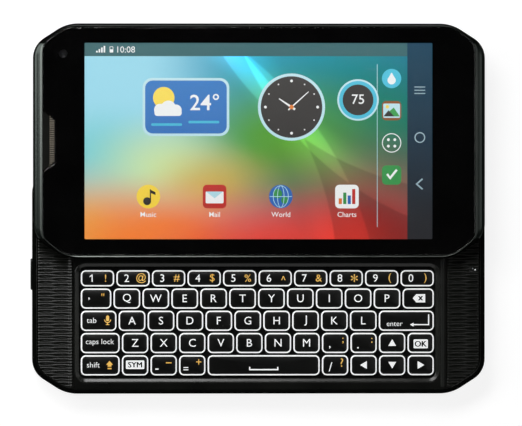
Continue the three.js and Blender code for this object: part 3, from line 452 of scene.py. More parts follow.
# %% Smears
smears, given, out = new_group("smears", {"Amount": 0.1}, ["Smear"])
place = smears.nodes.new("ShaderNodeTexCoord").outputs["Object"]
wide = ramp(smears, noise(smears, place, 30.0, 2.0), 0.45, 0.8)
streaks = ramp(smears, noise(smears, place, 160.0, 2.0), 0.2, 0.9)
smear = maths(smears, "MULTIPLY", maths(smears, "MULTIPLY", wide, streaks), given.outputs["Amount"])
smears.links.new(smear, out.inputs["Smear"])
print("group", smears.name)

# %% [markdown]
# Brushed metal is noise drawn out along one direction, so that it becomes fine parallel scratches.

# %% Brushing
brushing, given, out = new_group("brushing", {"Per metre": 9000.0}, ["Height", "Tone"])
stretch = brushing.nodes.new("ShaderNodeMapping")
stretch.inputs["Scale"].default_value = (0.03, 1.0, 1.0)
brushing.links.new(brushing.nodes.new("ShaderNodeTexCoord").outputs["Object"], stretch.inputs["Vector"])
lines = noise(brushing, stretch.outputs["Vector"], given.outputs["Per metre"], 2.0)
brushing.links.new(lines, out.inputs["Height"])
brushing.links.new(ramp(brushing, lines, 0.3, 0.7), out.inputs["Tone"])
print("group", brushing.name)

# %% [markdown]
# ## Materials from those groups
# Colours are given as they look on a screen, from 0 to 255, and turned into the linear numbers that a
# shader wants. A few short helpers mix two colours, use one of the groups, start a material and hang a bump
# on its shader.

# %% Colours and helpers for shaders


def colour(r, g, b):
    def linear(v):
        v /= 255
        return v / 12.92 if v <= 0.04045 else ((v + 0.055) / 1.055) ** 2.4

    return (linear(r), linear(g), linear(b), 1)


def mixed(tree, share, a, b):
    node = tree.nodes.new("ShaderNodeMix")
    node.data_type = "RGBA"
    for label, value in ((6, a), (7, b)):
        if isinstance(value, tuple):
            node.inputs[label].default_value = value
        else:
            tree.links.new(value, node.inputs[label])
    tree.links.new(share, node.inputs[0])
    return node.outputs[2]


def use(tree, group, label, value):
    node = tree.nodes.new("ShaderNodeGroup")
    node.node_tree = group
    node.inputs[label].default_value = value
    return node.outputs


def new_material(name, **plain):
    made = bpy.data.materials.new(name)
    made.use_nodes = True
    shader = made.node_tree.nodes["Principled BSDF"]
    for label, value in plain.items():
        shader.inputs[label.replace("_", " ")].default_value = value
    return made, made.node_tree, shader


def bumped(tree, shader, height, strength, distance):
    bump = tree.nodes.new("ShaderNodeBump")
    bump.inputs["Strength"].default_value = strength
    bump.inputs["Distance"].default_value = distance * MM
    tree.links.new(height, bump.inputs["Height"])
    tree.links.new(bump.outputs["Normal"], shader.inputs["Normal"])


print("a middle grey is", round(colour(128, 128, 128)[0], 3), "in a shader")

# %% [markdown]
# Every moulded finish is made alike: two near colours mixed by the mottle, a third where it is worn, and
# grain as a bump. The numbers make the difference: the deck is even and dull, the lid's bevel is glossy,
# and the back cover is rough.

# %% Moulded finishes

def moulded(name, dark, light, gloss, per_metre, strength, rubbed=None, wear=0.0, shine=0.5, **plain):
    """gloss is the range of roughness. per_metre and strength are the grain's. rubbed is the worn colour."""
    made, tree, shader = new_material(name, Specular_IOR_Level=shine, **plain)
    grains = use(tree, grain, "Per metre", per_metre)
    body = mixed(tree, grains["Mottle"], colour(*dark), colour(*light))
    if rubbed:
        body = mixed(tree, use(tree, worn, "Amount", wear)["Wear"], body, colour(*rubbed))
    tree.links.new(body, shader.inputs["Base Color"])
    tree.links.new(ramp(tree, grains["Mottle"], 0, 1, *gloss), shader.inputs["Roughness"])
    bumped(tree, shader, grains["Height"], strength, 0.02)
    return made


deck_plastic = moulded(
    "deck_plastic", (10, 11, 9), (15, 16, 13), (0.27, 0.33), 7000.0, 0.2, (44, 46, 42), 0.35, shine=0.25
)
grip_plastic = moulded("grip_plastic", (12, 14, 10), (17, 19, 14), (0.3, 0.35), 7000.0, 0.08, shine=0.4)
band_plastic = moulded(
    "band_plastic", (10, 11, 10), (15, 16, 14), (0.3, 0.38), 9000.0, 0.2, (44, 46, 42), 0.3, shine=0.4
)
# A black that reflects nothing, a painted shade. On the lid's shoulder and inner wall, on its slope past the
# ends, and on the band's shoulder, it keeps dark what would catch light.
black_painted_shade = moulded(
    "black_painted_shade", (8, 9, 8), (13, 14, 12), (0.4, 0.5), 9000.0, 0.15, (26, 28, 25), 0.25, shine=0.0
)
# The rim's plastic is lighter than the deck's, a painted sheen for its bright line.
well_rim_plastic_painted_sheen = moulded(
    "well_rim_plastic_painted_sheen", (21, 23, 19), (28, 30, 25), (0.21, 0.26), 9000.0, 0.12, (60, 62, 57), 0.15,
    shine=0.68,
)
ridge_plastic = moulded(
    "ridge_plastic", (24, 26, 23), (32, 34, 31), (0.3, 0.36), 9000.0, 0.15, (60, 62, 58), 0.3, shine=0.35
)
lid_black = moulded(
    "lid_black", (9, 10, 9), (14, 15, 13), (0.26, 0.32), 12000.0, 0.12, (40, 44, 40), 0.3, shine=0.4
)
bevel_shine = {"shine": 0.85, "Specular_Tint": (0.86, 1.0, 0.93, 1), "Metallic": 0.3}
lid_bevel = moulded(
    "lid_bevel", (11, 16, 13), (18, 23, 20), (0.18, 0.22), 12000.0, 0.1, (40, 48, 43), 0.1, **bevel_shine
)
# The lid's lip is a light grey, a painted highlight: it paints the bright line that runs along the glass.
lid_lip_painted_highlight = moulded(
    "lid_lip_painted_highlight", (82, 88, 84), (94, 100, 96), (0.2, 0.26), 12000.0, 0.1, (104, 110, 105), 0.1, Metallic=0.6
)
flash_white = moulded("flash_white", (206, 196, 150), (226, 218, 178), (0.4, 0.5), 6000.0, 0.2)
soft_touch = moulded("soft_touch", (15, 16, 16), (21, 22, 22), (0.5, 0.57), 2000.0, 0.8, (46, 47, 47), 0.25)
key_black = moulded(
    "key_black", (4, 5, 4), (7, 8, 6), (0.3, 0.35), 11000.0, 0.08, (26, 26, 24), 0.2, shine=0.38
)
eye_black = moulded("eye_black", (2, 2, 3), (4, 4, 5), (0.1, 0.14), 11000.0, 0.02, shine=0.5)
coated_lens = moulded("coated_lens", (7, 10, 26), (22, 12, 38), (0.07, 0.11), 420.0, 0.02, shine=0.7)
# The mat is blacker than rubber is: a painted shade in the gaps between the keys.
mat_rubber_painted_shade = moulded("mat_rubber_painted_shade", (1, 1, 1), (3, 3, 3), (0.7, 0.85), 5000.0, 0.4, shine=0.15)
inner_plastic = moulded("inner_plastic", (10, 10, 11), (15, 15, 16), (0.35, 0.45), 6000.0, 0.2, shine=0.3)
board_green = moulded("board_green", (20, 58, 38), (28, 74, 48), (0.45, 0.6), 2500.0, 0.4)
battery_wrap = moulded("battery_wrap", (150, 152, 155), (172, 174, 176), (0.4, 0.5), 1800.0, 0.3)
cable_film = moulded("cable_film", (150, 84, 22), (176, 104, 34), (0.35, 0.45), 2500.0, 0.2)
print("moulded finishes", len(bpy.data.materials))

# %% [markdown]
# The legends and the rings round the keys are milky plastic that the keyboard's lamps shine through. A
# little emission does that, so that they read as bright white and amber against the black caps.

# %% Lit legends


def milky(name, dull, bright, glow):
    made, tree, shader = new_material(name, Roughness=0.45, Emission_Strength=glow)
    grains = use(tree, grain, "Per metre", 9000.0)
    body = mixed(tree, grains["Mottle"], colour(*dull), colour(*bright))
    tree.links.new(body, shader.inputs["Base Color"])
    tree.links.new(body, shader.inputs["Emission Color"])
    bumped(tree, shader, grains["Height"], 0.1, 0.01)
    return made


white_ring = milky("white_ring", (240, 242, 242), (250, 251, 251), 0.52)
white_print = milky("white_print", (236, 238, 238), (246, 248, 248), 0.5)
amber_print = milky("amber_print", (236, 180, 78), (250, 204, 108), 0.36)
black_print = moulded("black_print", (1, 1, 1), (3, 3, 3), (0.6, 0.7), 9000.0, 0.05, shine=0.0)
print("legend finishes", white_ring.name, amber_print.name)

# %% [markdown]
# Metals: the steel of the slide and the sockets, the bronze mesh of the earpiece, and the dark ring of the
# rear camera.

# %% Brushed metals


def brushed(name, dark, light, gloss, per_metre=9000.0):
    made, tree, shader = new_material(name, Metallic=1.0)
    strokes = use(tree, brushing, "Per metre", per_metre)
    tree.links.new(mixed(tree, strokes["Tone"], colour(*dark), colour(*light)), shader.inputs["Base Color"])
    tree.links.new(ramp(tree, strokes["Tone"], 0, 1, *gloss), shader.inputs["Roughness"])
    bumped(tree, shader, strokes["Height"], 0.2, 0.01)
    return made


steel = brushed("steel", (120, 123, 126), (160, 163, 166), (0.28, 0.4))
dark_steel = brushed("dark_steel", (52, 54, 56), (72, 75, 77), (0.3, 0.42))
bronze = brushed("bronze", (130, 122, 110), (158, 150, 136), (0.42, 0.52), 14000.0)
print("metals", steel.name, bronze.name, dark_steel.name)

# %% [markdown]
# Glass stays clear all over: the black border is a print under it, as on a real phone. Light that only
# casts a shadow is let straight through, so that what lies under the glass isn't in the dark.

# %% Glass


def let_through(tree, shader, share):
    """Lets rays pass straight through a surface where the share is 1."""
    mix = tree.nodes.new("ShaderNodeMixShader")
    tree.links.new(share, mix.inputs[0])
    tree.links.new(shader.outputs[0], mix.inputs[1])
    tree.links.new(tree.nodes.new("ShaderNodeBsdfTransparent").outputs[0], mix.inputs[2])
    tree.links.new(mix.outputs[0], tree.nodes["Material Output"].inputs["Surface"])


def clear_glass(name, tint, ior, smeared=0.0):
    plain = {"Base_Color": colour(*tint), "Transmission_Weight": 1.0, "IOR": ior, "Roughness": 0.0}
    made, tree, shader = new_material(name, **plain)
    if smeared:
        tree.links.new(use(tree, smears, "Amount", smeared)["Smear"], shader.inputs["Roughness"])
    let_through(tree, shader, tree.nodes.new("ShaderNodeLightPath").outputs["Is Shadow Ray"])
    return made


cover_glass = clear_glass("cover_glass", (255, 255, 255), 1.3, 0.025)
lens_glass = clear_glass("lens_glass", (214, 218, 236), 1.5)
lamp_glass = clear_glass("lamp_glass", (255, 252, 236), 1.45)
print("glasses", cover_glass.name, lens_glass.name, lamp_glass.name)

# %% [markdown]
# ## The band round the base
# The band is one ring: a foot, an upright wall, and a shoulder that slants in to the deck. It has a window
# for each side button and each socket, which are cut out of the ring after it is lofted.

# %% Band
foot_z, band_top = box("base_frame")[0][2], box("base_frame")[1][2]
wall, ledge, ledge_z = 1.6, 2.6, 5.8
band_profile = [
    (0.12, foot_z),
    (0.02, foot_z + 0.35),
    (0.0, foot_z + 0.7),
    (0.0, band_top - 1.25),
    (0.06, band_top - 0.75),
    (0.24, band_top - 0.36),
    (0.52, band_top - 0.1),
    (0.78, band_top),
    (1.04, band_top),
    (1.1, band_top - 0.06),
    (1.1, deck_bottom),
    (ledge, deck_bottom),
    (ledge, ledge_z),
    (wall, ledge_z - 0.5),
    (wall, foot_z),
]
# The shoulder is given the black that reflects nothing, which paints shade on it.
WALL, SHOULDER = range(2)
band_marks = [WALL] * 3 + [SHOULDER] * 7 + [WALL] * (len(band_profile) - 10)
band = loft([(outline(inset(base_edge, d)), z) for d, z in band_profile], band_marks, True)
print("band faces", len(band[1]))

# %% [markdown]
# The windows are cut by bars with rounded corners that poke through the band. Their places come from the
# boxes of the button or socket that each one frames. A button gets a little room round it, and the
# headset's bar is almost round.

# %% Windows in the band


def bar(width, height, y0, y1, radius, soft=0.0):
    """A bar along Y, with a rounded rectangle about x 0 and z 0 as its section. Its front may be soft."""
    levels = [(0, y1), (0, y0 + soft)]
    levels += [(soft * 0.3, y0 + soft * 0.3), (soft, y0)] if soft else []
    made = []
    for shrink, y in levels:
        line = rectangle(0, 0, width - 2 * shrink, height - 2 * shrink, max(radius - shrink, 0.05), 5)
        made.append((line, y))
    points, faces, finish = loft(made)
    return [(x, y, z) for x, z, y in points], faces, finish


side_of = {"power_button": "left", "volume_rocker": "back", "camera_button": "back"}
button_along = {name: middle(name)[0 if side == "back" else 1] for name, side in side_of.items()}
side_distance = {"left": base_edge["half"][0], "back": base_edge["half"][1], "front": base_edge["half"][1]}
button_z = middle("power_button")[2]


def on_side(part, side, along, z):
    """A part made facing the front, raised, turned to face the left end or the back, and moved along it."""
    points, faces, finish = moved(part, z=z)
    if side == "left":
        return [(y, along - x, z) for x, y, z in points], faces, finish
    return [(along - x, -y, z) for x, y, z in points], faces, finish


def opening(width, height, side, radius):
    """A bar that pokes through the wall of the band."""
    return bar(width, height, -side_distance[side] - 1, 0.5 - side_distance[side] + wall, radius)


button_length = {"power_button": 8.8, "volume_rocker": 18.0, "camera_button": 9.0}
button_height, button_room = 2.4, 0.5
windows = []
for name, side in side_of.items():
    hole = opening(button_length[name] + button_room, button_height + button_room, side, 1.1)
    windows.append(on_side(hole, side, button_along[name], button_z))
socket_rim, jack_bore, jack_room = 0.2, 1.75, 0.3
for name in ("micro_usb_port", "micro_hdmi_port"):
    low, high = box(name)
    hole = opening(high[0] - low[0] - socket_rim, high[2] - low[2] - socket_rim, "front", 0.35)
    windows.append(moved(hole, middle(name)[0], 0, middle(name)[2]))
jack_y, jack_z = middle("headset_jack")[1:]
hole = opening(2 * jack_bore + jack_room, 2 * jack_bore + jack_room, "left", jack_bore + 0.14)
windows.append(on_side(hole, "left", jack_y, jack_z))
band = carve(band, *windows)
piece("base_band", [band], [band_plastic, black_painted_shade], "base", ["base_frame"], 45)
print("windows", len(windows), "band faces", len(band[1]))

# %% [markdown]
# ## Side buttons
# Each button is a bar with a softened face that stands a little proud of the band, so that a finger finds
# it. A low ridge near each end of the volume rocker tells a finger where to press.

# %% Buttons
proud, flange_from, flange_to = 0.45, 1.9, 2.5
ridge_rise, ridge_place = 0.06, 5.6
for name, side in side_of.items():
    length, outer = button_length[name], -side_distance[side]
    cap = bar(length, button_height, outer - proud, flange_from + outer, 0.95, 0.22)
    flange = bar(length + 1.2, 3.0, flange_from + outer, flange_to + outer, 0.3)
    forms = [cap, flange]
    if name == "volume_rocker":
        low_ridge = bar(0.5, 1.5, outer - proud - ridge_rise, outer, 0.24, 0.1)
        forms += [moved(low_ridge, -ridge_place), moved(low_ridge, ridge_place)]
    forms = [on_side(form, side, button_along[name], button_z) for form in forms]
    piece(name + "_cap", forms, [lid_black], body_of(name), [name], 50)
print("buttons", len(side_of))

# %% [markdown]
# ## Back cover
# The cover is a shallow tray of soft-touch plastic, open at the camera, the flash and the loudspeaker. It
# is lofted with a rounded lower edge and then cut, and it is closed inside, because nobody looks in there.

# %% Cover
cover_profile = [
    (2.5, 0.0), (1.9, 0.03), (1.3, 0.14), (0.8, 0.36), (0.4, 0.75), (0.18, 1.2), (0.12, foot_z - 0.02)
]
cover = loft([(outline(inset(base_edge, d)), z) for d, z in cover_profile])
bezel_low, bezel_high = box("camera_bezel")
camera_x, camera_y = middle("camera_bezel")[0], middle("camera_bezel")[1]
bezel_radius = (bezel_high[0] - bezel_low[0]) / 2
flash_low, flash_high = box("flash_lens")
flash_x, flash_radius = middle("flash_lens")[0], (flash_high[0] - flash_low[0]) / 2
speaker_x, speaker_y = middle("loudspeaker")[0], middle("loudspeaker")[1]


def rod(x, y, radius, low, high, mark=0):
    return upright(circle(x, y, radius, 48), low, high, mark)


slot_count, slot_pitch, slot_width, slot_length, hole_room = 6, 1.7, 0.8, 8, 0.15
slots = []
for i in range(slot_count):
    x = speaker_x + (i - (slot_count - 1) / 2) * slot_pitch
    slots.append(upright(rectangle(x, speaker_y, slot_width, slot_length, 0.39), -1, 2))
holes = [rod(camera_x, camera_y, bezel_radius + hole_room, -1, 2)]
holes += [rod(flash_x, camera_y, flash_radius + hole_room, -1, 2)]
cover = carve(cover, *holes, *slots)
piece("back_cover", [cover], [soft_touch], "base", ["rear_cover"], 45)
print("cover faces", len(cover[1]))

# %% [markdown]
# ## Rear camera
# The camera's ring is turned metal with a stepped inner cone. Inside it lies the window's black painted
# edge, then three black steps go down to a bulging lens with a violet coating. The clear middle of the
# window is left out: it would only hide the lens behind a veil, and a lens reads as one when it lies dark
# and round at the bottom of a well.

# %% Rear camera


def turned_ring(x, y, section, count=64):
    """A ring about a point, from its section as (radius, z), which closes on itself."""
    return loft([(circle(x, y, radius, count), z) for radius, z in section], 0, True)


def dome(x, y, radius, low, high, mark=0, count=48):
    """A bulge from a rim at one height to a top at another."""
    levels = []
    for i in range(8):
        t = i / 7 * math.pi / 2
        line = circle(x, y, max(radius * math.cos(t), 0.02), count)
        levels.append((line, low + (high - low) * math.sin(t)))
    return loft(levels, mark)


def camera_part(section):
    return turned_ring(camera_x, camera_y, section)


throat, block_side = 3.4, 8.5
ring_section = [(bezel_radius - 0.25, 0), (bezel_radius, 0.2), (bezel_radius, 1.0), (throat, 1.0)]
ring_section += [(throat, 0.6), (3.75, 0.5), (3.9, 0.12), (4.2, 0.0)]
piece("camera_ring", [camera_part(ring_section)], [dark_steel], "base", ["camera_bezel"], 30)
window_section = [(2.75, 0.42), (2.85, 0.36), (3.3, 0.36), (3.3, 0.75), (2.75, 0.75)]
piece("camera_window", [camera_part(window_section)], [eye_black], "base", (), 30)
barrel_radius, barrel_end = 3.35, 1.5
barrel = []
for hole, z in ((2.6, 0.8), (2.0, 1.05), (1.5, 1.3)):
    step_section = [(hole, barrel_end), (barrel_radius, barrel_end), (barrel_radius, z), (hole, z + 0.12)]
    barrel.append(camera_part(step_section))
block_line = rectangle(camera_x, camera_y, block_side, block_side, 0.4)
barrel.append(upright(block_line, barrel_end, box("rear_camera")[1][2]))
piece("camera_barrel", barrel, [inner_plastic], "base", ["rear_camera"], 30)
lens = dome(camera_x, camera_y, 1.45, barrel_end, 0.95)
piece("camera_lens", [lens], [coated_lens], "base", ())
lamp = [rod(flash_x, camera_y, flash_radius, 0.02, 0.5), rod(flash_x, camera_y, flash_radius, 0.52, 1.1, 1)]
piece("flash_window", lamp, [lamp_glass, flash_white], "base", ["flash_lens"])
print("camera at", round(camera_x, 1), round(camera_y, 1))

# %% [markdown]
# ## Keyboard deck
# The deck is a thin plate with a big window for the keys and a pocket for each grip. It is filled from its
# outlines with a soft edge all round. The slanted rim of the window is a ring of its own, since its rounded
# crest catches a bright line. Its plastic is lighter and shinier than the deck's: part of that bright line
# is a painted sheen.

# %% Deck outlines
deck_line_edge = inset(base_edge, 1.2)
# The outline has eight corners, and those of the upper half come first.
corner_steps, upper_corners = 8, 4
lower = outline(deck_line_edge, corner_steps)[upper_corners * (corner_steps + 1) :]
half_x = deck_line_edge["half"][0]
deck_line = lower + [(half_x, deck_edge_y), (-half_x, deck_edge_y)]

key_gap = 0.55
row_bottom = box("key_space")[0][1]
keys_low = [box("number_keys")[0][0], row_bottom]
keys_high = [box("number_keys")[1][0], box("number_keys")[1][1]]
well_x, well_y = (keys_low[0] + keys_high[0]) / 2, (keys_low[1] + keys_high[1]) / 2
well_room_x, well_room_y, well_corner, rim_width = 0.37, 0.75, 1.8, 1.25
well_w, well_d = keys_high[0] - keys_low[0] + 2 * well_room_x, keys_high[1] - keys_low[1] + 2 * well_room_y


def well(growth):
    return rectangle(well_x, well_y, well_w + 2 * growth, well_d + 2 * growth, well_corner + growth, 10)


grip_margin = 1.42
grip_edge = outline(inset(base_edge, grip_margin), 12)


def grip_reach(y):
    """How far out the grip runs at a height up the keyboard: where the slanted corner lets it."""
    found = []
    for i, (x0, y0) in enumerate(grip_edge):
        x1, y1 = grip_edge[(i + 1) % len(grip_edge)]
        if min(y0, y1) <= y <= max(y0, y1) and y0 != y1:
            found.append(x0 + (x1 - x0) * (y - y0) / (y1 - y0))
    return max(found)


grip_top = deck_edge_y - 1
grip_bottom = 0.02 - inset(base_edge, 1.9)["half"][1]
ridge_gap, ridge_width = 0.25, 1.1
rim_left, rim_right = well_x - well_w / 2 - rim_width, well_x + well_w / 2 + rim_width
grip_inner = {-1: 0.45 - rim_left, 1: rim_right + ridge_gap + ridge_width + 0.6}
print("well", round(well_w, 2), "by", round(well_d, 2), "grips from", grip_inner)

# %% [markdown]
# The grips are what a thumb rests on. They are flat bars with a groove between each two, and each groove
# opens into lens-shaped pockets that lie like bricks. One grid carries all of it: its height falls where a
# groove or pocket is.

# %% Grips
rib_pitch, rib_rise, bar_lean, crest_share = 0.82, 0.15, 0.13, 0.75
pocket_length, pocket_half, pocket_depth = 9.1, 0.37, 0.34
groove_half, groove_depth = 0.13, 0.1
crest_rise, crest_reach, deepest = {-1: 0.34, 1: 0.12}, 0.95, 0.8
inner_soft, outer_soft, edge_drop = {-1: 0.45, 1: 0.14}, 0.4, 0.42
# The microphone's hole lies in the right grip, which stays level round it.
mic, mic_clear, mic_slope, mic_depth = (60.05, 2.0), 0.7, 0.3, 0.2
DECK, RIM, GRIP, RIDGE = range(4)


def pocket_at(index, along, off, calm):
    """How deep the groove of a number is, at a place along it and a distance from its middle line."""
    wave = (-1) ** index * math.cos(2 * math.pi * (along - 3.3) / pocket_length)
    lens = max(0, wave) ** 0.6 * calm
    half = groove_half + (pocket_half - groove_half) * lens
    return (groove_depth + (pocket_depth - groove_depth) * lens) * max(0, 1 - (off / half) ** 2)


def bar_slope(share):
    """How far the surface of a bar has leaned down, at a share of the way from one groove to the next."""
    if share < crest_share:
        return bar_lean * (1 - share / crest_share)
    return bar_lean * ((share - crest_share) / (1 - crest_share)) ** 2


print("a pocket goes down by", round(pocket_at(0, 3.3, 0, 1), 2))

# %% [markdown]
# The grip itself is a grid of points that is fine across the grooves. Its height starts at the tops of the
# bars and falls by what the lean, the pockets, the soft ends and the level place round the microphone take
# away. Walls and a bottom close the grid to a solid.

# %% The grips as grids


def grip(side):
    inner = grip_inner[side]
    columns, fine = 48, 8
    ribs = round((grip_top - grip_bottom) / rib_pitch)
    rows = ribs * fine
    pitch = (grip_top - grip_bottom) / ribs
    points = []
    for row in range(rows + 1):
        index, step = divmod(row, fine)
        share = step / fine
        y = grip_top - row * pitch / fine
        outer = grip_reach(max(grip_bottom, y))
        for column in range(columns + 1):
            x = inner + (outer - inner) * column / columns
            along, left_over = x - inner, outer - x
            calm = min(1, max(0, (along - 0.7) / 1.0)) * min(1, left_over / 0.8)
            behind = pocket_at(index, along, share * pitch, calm)
            ahead = pocket_at(index + 1, along, (1 - share) * pitch, calm)
            depth = bar_slope(share) + max(behind, ahead)
            for gone, soft in ((along, inner_soft[side]), (left_over, outer_soft)):
                if gone < soft:
                    depth += edge_drop * (1 - math.sqrt(max(0, 1 - (1 - gone / soft) ** 2)))
            crest = min(1, max(0, (along - 0.5) / crest_reach))
            depth += crest_rise[side] * (0.5 - 0.5 * math.cos(math.pi * crest))
            if side > 0:
                away = math.hypot(x - mic[0], y - mic[1])
                depth = mic_depth + (depth - mic_depth) * min(1, max(0, (away - mic_clear) / mic_slope))
            points.append((side * x, y, deck_top + rib_rise - min(depth, deepest)))
    wide = columns + 1
    faces = []
    for row in range(rows):
        for column in range(columns):
            a = row * wide + column
            faces.append((a, a + 1, a + 1 + wide, a + wide))
    loop = list(range(wide)) + [r * wide + columns for r in range(1, rows + 1)]
    loop += [rows * wide + c for c in range(columns - 1, -1, -1)]
    loop += [r * wide for r in range(rows - 1, 0, -1)]
    start = len(points)
    points += [(points[i][0], points[i][1], deck_bottom + 0.05) for i in loop]
    for k, i in enumerate(loop):
        n = (k + 1) % len(loop)
        faces.append((i, loop[n], start + n, start + k))
    faces.append(tuple(range(start, len(points))))
    return points, faces, [GRIP] * len(faces)


def pocket(side):
    """The outline of the opening that a grip lies in, a hair larger than the grip."""
    heights = [grip_bottom + (grip_top - grip_bottom) * (i / 60) ** 1.6 for i in range(61)]
    inner, top, bottom = grip_inner[side] - 0.02, grip_top + 0.02, grip_bottom - 0.02
    line = [(inner, top), (inner, bottom), *[(grip_reach(y) + 0.03, y) for y in heights]]
    line.append((grip_reach(grip_top) + 0.03, top))
    return [(side * x, y) for x, y in line]


grips = [grip(side) for side in (-1, 1)]
print("grip faces", [len(g[1]) for g in grips])

# %% [markdown]
# The right-hand bar beside the keys is a long low ridge with round ends. The small hole at the top of the
# right grip is the microphone's: a turned lip with a bright pin of mesh at its bottom. The bright dot
# beside it is a painted glint: a tiny dome of white plastic that glows.

# %% Deck, rim and ridge
plate = flat([deck_line, well(rim_width), pocket(-1), pocket(1)], deck_bottom, deck_top, DECK, 0.07)
rim_profile = [
    (rim_width + 0.06, deck_bottom + 0.1),
    (rim_width + 0.06, deck_top - 0.04),
    (rim_width, deck_top + 0.03),
    (rim_width - 0.12, deck_top + 0.05),
    (rim_width - 0.26, deck_top + 0.02),
    (0.9, deck_top - 0.01),
    (0.24, deck_top - 0.23),
    (0.18, deck_top - 0.25),
    (0.08, deck_top - 0.34),
    (0.02, deck_top - 0.6),
    (0.0, deck_bottom + 0.1),
]
rim = loft([(well(d), z) for d, z in rim_profile], RIM, True)
ridge_x, ridge_front = rim_right + ridge_gap + ridge_width / 2, deck_low[1] + 0.25
ridge_y, ridge_length = (ridge_front + deck_edge_y) / 2, deck_edge_y - ridge_front
ridge_levels = []
for d, rise in ((0, -0.3), (0, 0.02), (0.12, 0.1), (0.3, 0.145), (0.45, 0.15)):
    line = rectangle(ridge_x, ridge_y, ridge_width - 2 * d, ridge_length - 2 * d, ridge_width / 2 - d)
    ridge_levels.append((line, deck_top + rise))
ridge = loft(ridge_levels, RIDGE)
lip_section = [
    (0.36, deck_top - 0.4), (0.62, deck_top - 0.4), (0.58, deck_top + 0.05), (0.42, deck_top + 0.05)
]
mic_lip = turned_ring(*mic, lip_section, 24)
deck = [plate, rim, ridge, *grips, mic_lip]
deck_finishes = [deck_plastic, well_rim_plastic_painted_sheen, grip_plastic, ridge_plastic]
piece("deck_plate", deck, deck_finishes, "base", ["keyboard_deck"], 50)
pin = dome(*mic, 0.3, deck_top - 0.15, deck_top + 0.1, 0, 16)
piece("mic_mesh", [pin], [steel], "base", ())
# A glowing white dome: a painted glint beside the microphone.
light = dome(mic[0] + 0.64, mic[1] - 0.3, 0.24, deck_top - 0.3, deck_top + 0.16, 0, 16)
piece("painted_glint_dome", [light], [white_print], "base", ())
print("deck parts", len(deck))

# %% [markdown]
# ## Keys
# A key is a black moulding with a milky ring let into its edge and a slightly crowned cap inside the ring.
# All of it comes from one loft of ever smaller rounded rectangles, and only the number of the finish
# changes on the way.

# %% One key
WHITE, BLACK, LEGEND, AMBER, INK = range(5)
ring_width, crown, key_corner = 0.37, 0.24, 1.35
ring_inset, ring_inset_back = 0.04, 0.12
cap_z, cap_edge_z = deck_top - 0.25, deck_top - 0.16


def key_shape(x0, y0, x1, y1):
    y1 -= ring_inset_back
    x, y, w, d = (x0 + x1) / 2, (y0 + y1) / 2, x1 - x0 - 2 * ring_inset, y1 - y0

    def ring_at(inward):
        return rectangle(x, y, w - 2 * inward, d - 2 * inward, max(key_corner - inward, 0.3), 5)

    ring_levels = (
        (0, key_low[2]), (0, cap_z - 0.12), (0.04, cap_z - 0.03), (0.12, cap_z), (ring_width, cap_z)
    )
    cap_levels = ((0.02, cap_edge_z - 0.05), (0.07, cap_edge_z - 0.01), (0.16, cap_edge_z + 0.01))
    levels = [(ring_at(inward), z) for inward, z in ring_levels]
    levels += [(ring_at(ring_width + inward), z) for inward, z in cap_levels]
    top = levels[-1][0]
    for share in (0.93, 0.85, 0.75, 0.62, 0.46, 0.28, 0.1):
        line = [(x + (a - x) * share, y + (b - y) * share) for a, b in top]
        levels.append((line, cap_edge_z + 0.01 + crown * (1 - share**2.4)))
    return loft(levels, [BLACK] + [WHITE] * 3 + [BLACK] * (len(levels) - 5))


legend_low, legend_top = cap_edge_z - 0.05, cap_edge_z + crown + 0.02


def legend(body, height, x, y, mark=LEGEND, weight=0.0):
    """A letter or word on a cap. The 1 has an outline of its own: a stem with a flag."""
    if body == "1":
        tall, wide, stem = height / 2, height * 0.2, height * 0.14
        flagged = [(wide, -tall), (wide, tall), (wide - stem * 0.8, tall), (-wide, tall - height * 0.26)]
        flagged += [(-wide, tall - height * 0.4), (wide - stem, tall - height * 0.2), (wide - stem, -tall)]
        return flat([[(x + a, y + b) for a, b in flagged]], legend_low, legend_top, mark)
    return word(body, height, x, y, legend_low, legend_top, mark, weight)


def sign(lines, mark=LEGEND):
    return flat(lines, legend_low, legend_top, mark)


def around(x, y, shape):
    return [(x + a, y + b) for a, b in shape]


def strip(x0, y0, x1, y1):
    return [(x0, y0), (x1, y0), (x1, y1), (x0, y1)]


key_finishes = [white_ring, key_black, white_print, amber_print, black_print]
print("key finishes", [f.name for f in key_finishes])

# %% [markdown]
# The signs that are no letters are drawn as small outlines: a tag with a cross, a bent arrow, a microphone,
# arrows, and the bracket of the space bar. The words in boxes are black letters on a white plate.

# %% Signs


def triangle(x, y, way):
    """An arrow key's sign. The way is the direction that it points in, as (x, y)."""
    (ux, uy), size = way, 1.1
    shape = [(-0.8 * size, -size), (0.9 * size, 0.0), (-0.8 * size, size)]
    return [sign([around(x, y, [(ux * a + uy * b, uy * a + ux * b) for a, b in shape])])]


def inked(body, height, x, y):
    """A word in black on a white plate, set three times a hair apart so that it prints bold."""
    low, high = legend_top - 0.02, legend_top + 0.02
    return [word(body, height, x + shift, y, low, high, INK) for shift in (-0.08, 0, 0.08)]


def boxed(body, x, y, w, h):
    return [sign([rectangle(x, y, w, h, 0.25, 3)]), *inked(body, h * 0.63, x, y)]


def arc(x, y, radius, first, last):
    """Points along a part of a circle, with its ends in half turns."""
    steps = 12
    turns = [math.pi * (first + (last - first) * i / steps) for i in range(steps + 1)]
    return [(x + radius * math.cos(t), y + radius * math.sin(t)) for t in turns]


def microphone(x, y):
    capsule = rectangle(x, y + 0.45, 0.86, 1.6, 0.42, 4)
    bow = arc(x, y + 0.1, 0.95, 1, 2) + arc(x, y + 0.1, 0.72, 2, 1)
    stem = strip(x - 0.12, y - 1.25, x + 0.12, y - 0.8)
    foot = strip(x - 0.5, y - 1.4, x + 0.5, y - 1.2)
    return [sign([line], AMBER) for line in (capsule, bow, stem, foot)]


